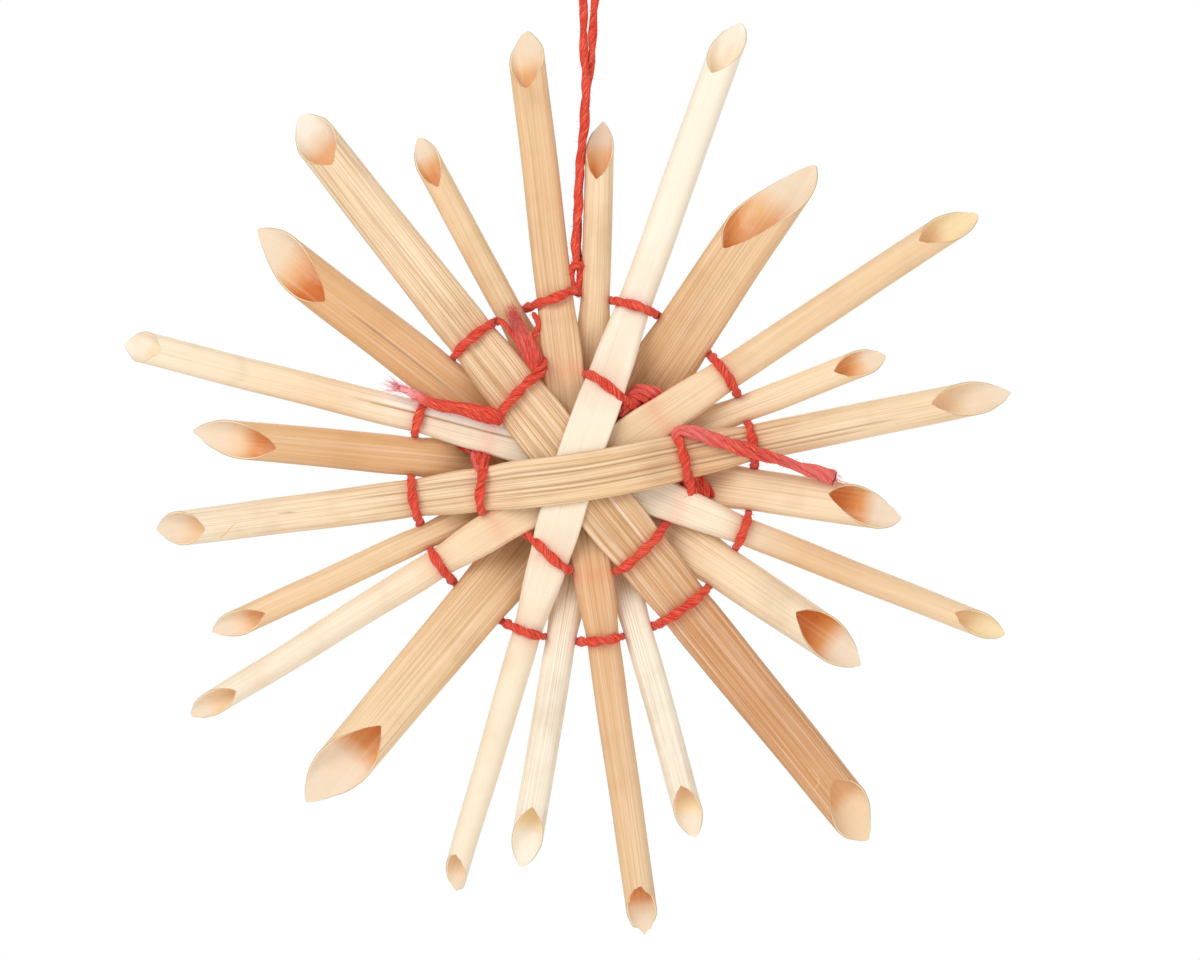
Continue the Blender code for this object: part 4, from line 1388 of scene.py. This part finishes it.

# %% [markdown]
# ## The inner ring, its tails and its lumps
#
# The inner ring was tied by hand: its ends stick out as three tails whose twist has opened, and where the
# yarn was knotted it bunches up in lumps behind the straws. They could be one swept tube each, but a tail
# is a loose rope of strands. So each is a bundle of strands along a few chosen points, thick where the
# real one swells.

# %% Tails
# A bundle's pink share is painted light that lifts it out of its own shade, with bleaching at the cut ends.
TAILS = (
    Bundle("right_tail", strands=4, twist=9.0, stops=(
        (8.1, -1.9, 2.6, 0.7), (8.5, -2.2, 3.35, 0.9), (10.0, -2.35, 3.15, 1.15),
        (11.3, -2.45, 2.65, 1.2), (12.8, -2.7, 2.15, 1.1), (14.4, -3.0, 1.65, 1.25),
        (16.0, -2.8, 1.15, 1.05), (17.8, -2.4, 0.62, 0.85), (19.4, -2.1, 0.0, 0.95),
        (21.0, -1.9, -0.45, 1.25), (22.4, -1.7, -0.95, 1.3),
    ), fade=lambda share: 0.16 + 0.12 * math.sin(share * 9)),
    Bundle("left_tail", strands=6, twist=13.0, stops=(
        (-7.5, -1.9, 4.2, 0.9), (-8.2, -2.2, 4.6, 1.3), (-9.4, -2.3, 4.9, 1.4),
        (-11.0, -2.5, 5.3, 1.05), (-12.6, -2.7, 5.55, 1.0), (-14.2, -2.95, 6.0, 0.85),
        (-15.7, -2.6, 6.8, 0.7), (-16.6, -2.4, 7.2, 0.5),
    ), fade=lambda share: smooth((share - 0.66) / 0.2)),
    Bundle("top_tail", strands=6, twist=20.0, stops=(
        (-3.9, -1.7, 8.5, 0.9), (-4.4, -1.6, 9.4, 1.3), (-5.0, -1.5, 10.6, 1.6),
        (-5.6, -1.5, 11.8, 1.4), (-6.0, -1.5, 12.7, 0.9), (-6.2, -1.5, 13.3, 0.3),
    ), fade=lambda share: 0.22 * share),
    Bundle("top_tail_front", strands=4, twist=14.0, stops=(
        (-4.1, -2.0, 8.6, 0.8), (-4.8, -2.0, 9.9, 1.0), (-5.4, -2.0, 11.1, 1.0),
        (-5.9, -1.9, 12.1, 0.6), (-6.3, -1.8, 12.8, 0.2),
    ), fade=lambda share: 0.2 * share),
    Bundle("top_strand", strands=2, twist=3.5, stops=(
        (-4.4, -1.2, 9.3, 0.5), (-4.75, -1.3, 11.0, 0.5), (-4.45, -1.2, 12.1, 0.55),
        (-4.2, -1.2, 13.0, 0.5), (-4.7, -1.2, 14.0, 0.4),
    )),
    Bundle("top_side_strand", strands=2, twist=3.5, stops=(
        (-4.8, -1.5, 9.9, 0.5), (-5.6, -1.6, 10.9, 0.5), (-6.5, -1.7, 12.0, 0.5),
        (-7.3, -1.6, 13.0, 0.5), (-7.9, -1.4, 13.3, 0.45),
    )),
    Bundle("top_wrap", strands=3, twist=4.0, stops=(
        (-5.0, -1.9, 7.8, 0.6), (-4.3, -2.4, 8.4, 0.85), (-3.7, -2.2, 9.1, 0.8), (-3.8, -1.2, 9.9, 0.6),
    )),
)
print("bundles that make up the tails:", len(TAILS))

# %% Lumps
# The pink share of a lump is painted light that lightens its shaded yarn.
LUMPS = (
    Bundle("upper_lump", strands=4, twist=6.0, stops=(
        (3.2, -0.9, 4.5, 0.9), (3.8, -0.6, 5.8, 1.2), (4.8, -0.2, 6.8, 1.3), (6.2, 0.2, 6.7, 1.2),
        (7.3, 0.6, 6.2, 0.9),
    ), fade=lambda share: 0.12),
    Bundle("upper_lump_middle", strands=3, twist=4.5, stops=(
        (3.1, -1.2, 5.6, 0.9), (4.4, -0.7, 6.1, 1.2), (5.7, 0.0, 6.1, 1.2), (6.6, 0.5, 5.6, 0.9),
    )),
    Bundle("upper_lump_low", strands=3, twist=4.5, stops=(
        (3.2, -0.8, 4.3, 0.8), (4.0, -0.2, 5.1, 1.1), (5.0, 0.3, 5.3, 1.0),
    )),
    Bundle("right_lump", strands=4, twist=6.0, stops=(
        (8.6, -0.6, 0.4, 0.9), (9.2, 0.0, -1.1, 1.3), (10.1, 0.3, -2.1, 1.3), (11.0, 0.6, -2.9, 0.9),
    )),
    Bundle("right_lump_side", strands=3, twist=5.0, stops=(
        (9.5, 0.1, -0.2, 0.9), (10.2, 0.3, -1.3, 1.2), (10.9, 0.6, -2.0, 1.1), (11.3, 0.8, -2.7, 0.8),
    )),
    Bundle("right_lump_front", strands=2, twist=4.0, stops=(
        (9.1, -1.9, 0.2, 0.7), (9.3, -1.6, -1.0, 0.9), (9.6, -0.9, -2.0, 0.9), (10.1, 0.1, -2.8, 0.7),
    )),
    Bundle("left_lump", strands=3, twist=5.0, stops=(
        (-9.1, -1.9, -0.4, 0.6), (-9.15, -1.7, 0.5, 0.85), (-9.35, -0.6, 1.15, 0.85),
        (-9.9, -0.1, 1.5, 0.8), (-10.6, 0.2, 1.75, 0.7), (-11.4, 0.5, 2.0, 0.5),
    )),
    Bundle("left_lump_over", strands=2, twist=3.5, stops=(
        (-9.0, -1.7, 0.3, 0.5), (-8.8, -0.7, 1.0, 0.7), (-8.6, 0.3, 1.7, 0.6),
    )),
    Bundle("left_lump_side", strands=2, twist=3.0, stops=(
        (-10.0, -0.1, 1.6, 0.5), (-9.95, -0.7, 0.9, 0.6), (-9.7, -1.4, 0.2, 0.6),
        (-9.3, -1.9, -0.4, 0.5),
    ), fade=lambda share: 0.2),
)
print("bundles that make up the lumps:", len(LUMPS))

# %% The inner ring
# The loose fibres at the cut ends: whose end, how many, how long, how far they spread and how pink they
# turn, which is bleaching together with painted light on the loose fibres.
FRAYS = (("right_tail", 30, 0.8, 0.5, 0.25), ("left_tail", 70, 2.2, 0.5, 0.95))
# Where a tail is unspun: the tail, how many fibres run along it, how long and how pink they are; the pink is
# painted light that keeps the self-shadowed fibres from going dark, together with bleaching.
WISPS = (("top_tail", 300, 1.9, 0.2), ("top_tail_front", 90, 1.5, 0.3), ("left_tail", 70, 1.6, 0.2),
         ("right_tail", 110, 1.4, 0.35))
inner_stops = weave(long_arms, (0, 0), inner_ring, lambda arm: arm.straw.depths is FRONT_LONG)
inner_route = []
for stop in eased_loop(inner_stops, 3):
    outward = Vector((stop.spot.x, 0, stop.spot.z)).normalized()
    pull = pulled(math.atan2(stop.spot.z, stop.spot.x))
    inner_route.append(stop._replace(spot=stop.spot + outward * pull))
parts = twisted_yarn("inner_ring", inner_route, True)
bundle_parts, hairs = lay_bundles(TAILS + LUMPS)
parts += bundle_parts
for tail_name, count, length, spread, worn in FRAYS:
    tail = next(bundle for bundle in TAILS if bundle.name == tail_name)
    way = (Vector(tail.stops[-1][:3]) - Vector(tail.stops[-2][:3])).normalized()
    end = Stop(Vector(tail.stops[-1][:3]), to_the_back, tail.stops[-1][3] / 2)
    parts.append(add_hairs(f"{tail_name}_fray", frayed_end(end, way, count, length, spread), worn))
for tail_name, count, length, worn in WISPS:
    tail = next(bundle for bundle in TAILS if bundle.name == tail_name)
    parts.append(add_hairs(f"{tail_name}_wisp", wisp(bundle_route(tail), count, length), worn, WISP_HAIR))
parts.append(add_hairs("inner_fuzz", hairs + fuzz(inner_route, **RING_FUZZ)))
finish_yarn("inner_binding_yarn", parts, "inner_binding_thread")

# %% [markdown]
# ## The hanging loop
#
# One cord leaves the knot, runs up, turns over the hook and comes back down to the knot. It is a free
# cord, and its line is the same as in the model.

# %% Hanging loop
CORD = 0.72
CORD_GAP = 0.2
LOOP_TWIST = 7.0  # the loop hangs untwisted, so its plies run almost straight
FOOT_SWING = 85.0
# The pair of strands: its height, how far it leans to the side, how far each strand lies from its middle, and
# how far it is turned, in degrees.
PAIR = (
    (20.5, -0.75, 0.40, 75),
    (23.8, -0.62, 0.40, 100),
    (27.7, -0.38, 0.40, 80),
    (31.3, -0.05, 0.40, 105),
    (34.9, 0.18, 0.40, 75),
    (37.0, 0.25, 0.41, 35),
    (39.2, 0.28, 0.42, 0),
    (42.1, 0.36, 0.54, 0),
    (45.5, 0.30, 1.20, 0),
    (49.5, 0.15, 2.60, 0),
    (53.3, 0.05, 3.10, 0),
    (56.2, 0.0, 2.20, 0),
)
foot = KNOT_TOP + CORD_GAP
up, down = [], []
for height, lean, spread, swing in ((foot, KNOT_AT, CORD / 2 + CORD_GAP / 4, FOOT_SWING),) + PAIR:
    turn = math.radians(swing)
    offset = Vector((spread * math.cos(turn), spread * math.sin(turn), 0))
    middle = Vector((lean, 0, height))
    up.append(middle - offset)
    down.append(middle + offset)
cord_spots = up + [Vector((0, 0, LOOP_DROP + CORD / 2))] + down[::-1]
cord_route = open_route(cord_spots, [CORD / 2] * len(cord_spots), to_the_back)

parts = twisted_yarn("loop", cord_route, twist=LOOP_TWIST)
parts.append(add_hairs("loop_fuzz", fuzz(cord_route, spacing=0.2, longest=0.6)))
loop = finish_yarn("hanging_loop_yarn", parts, "hanging_loop")
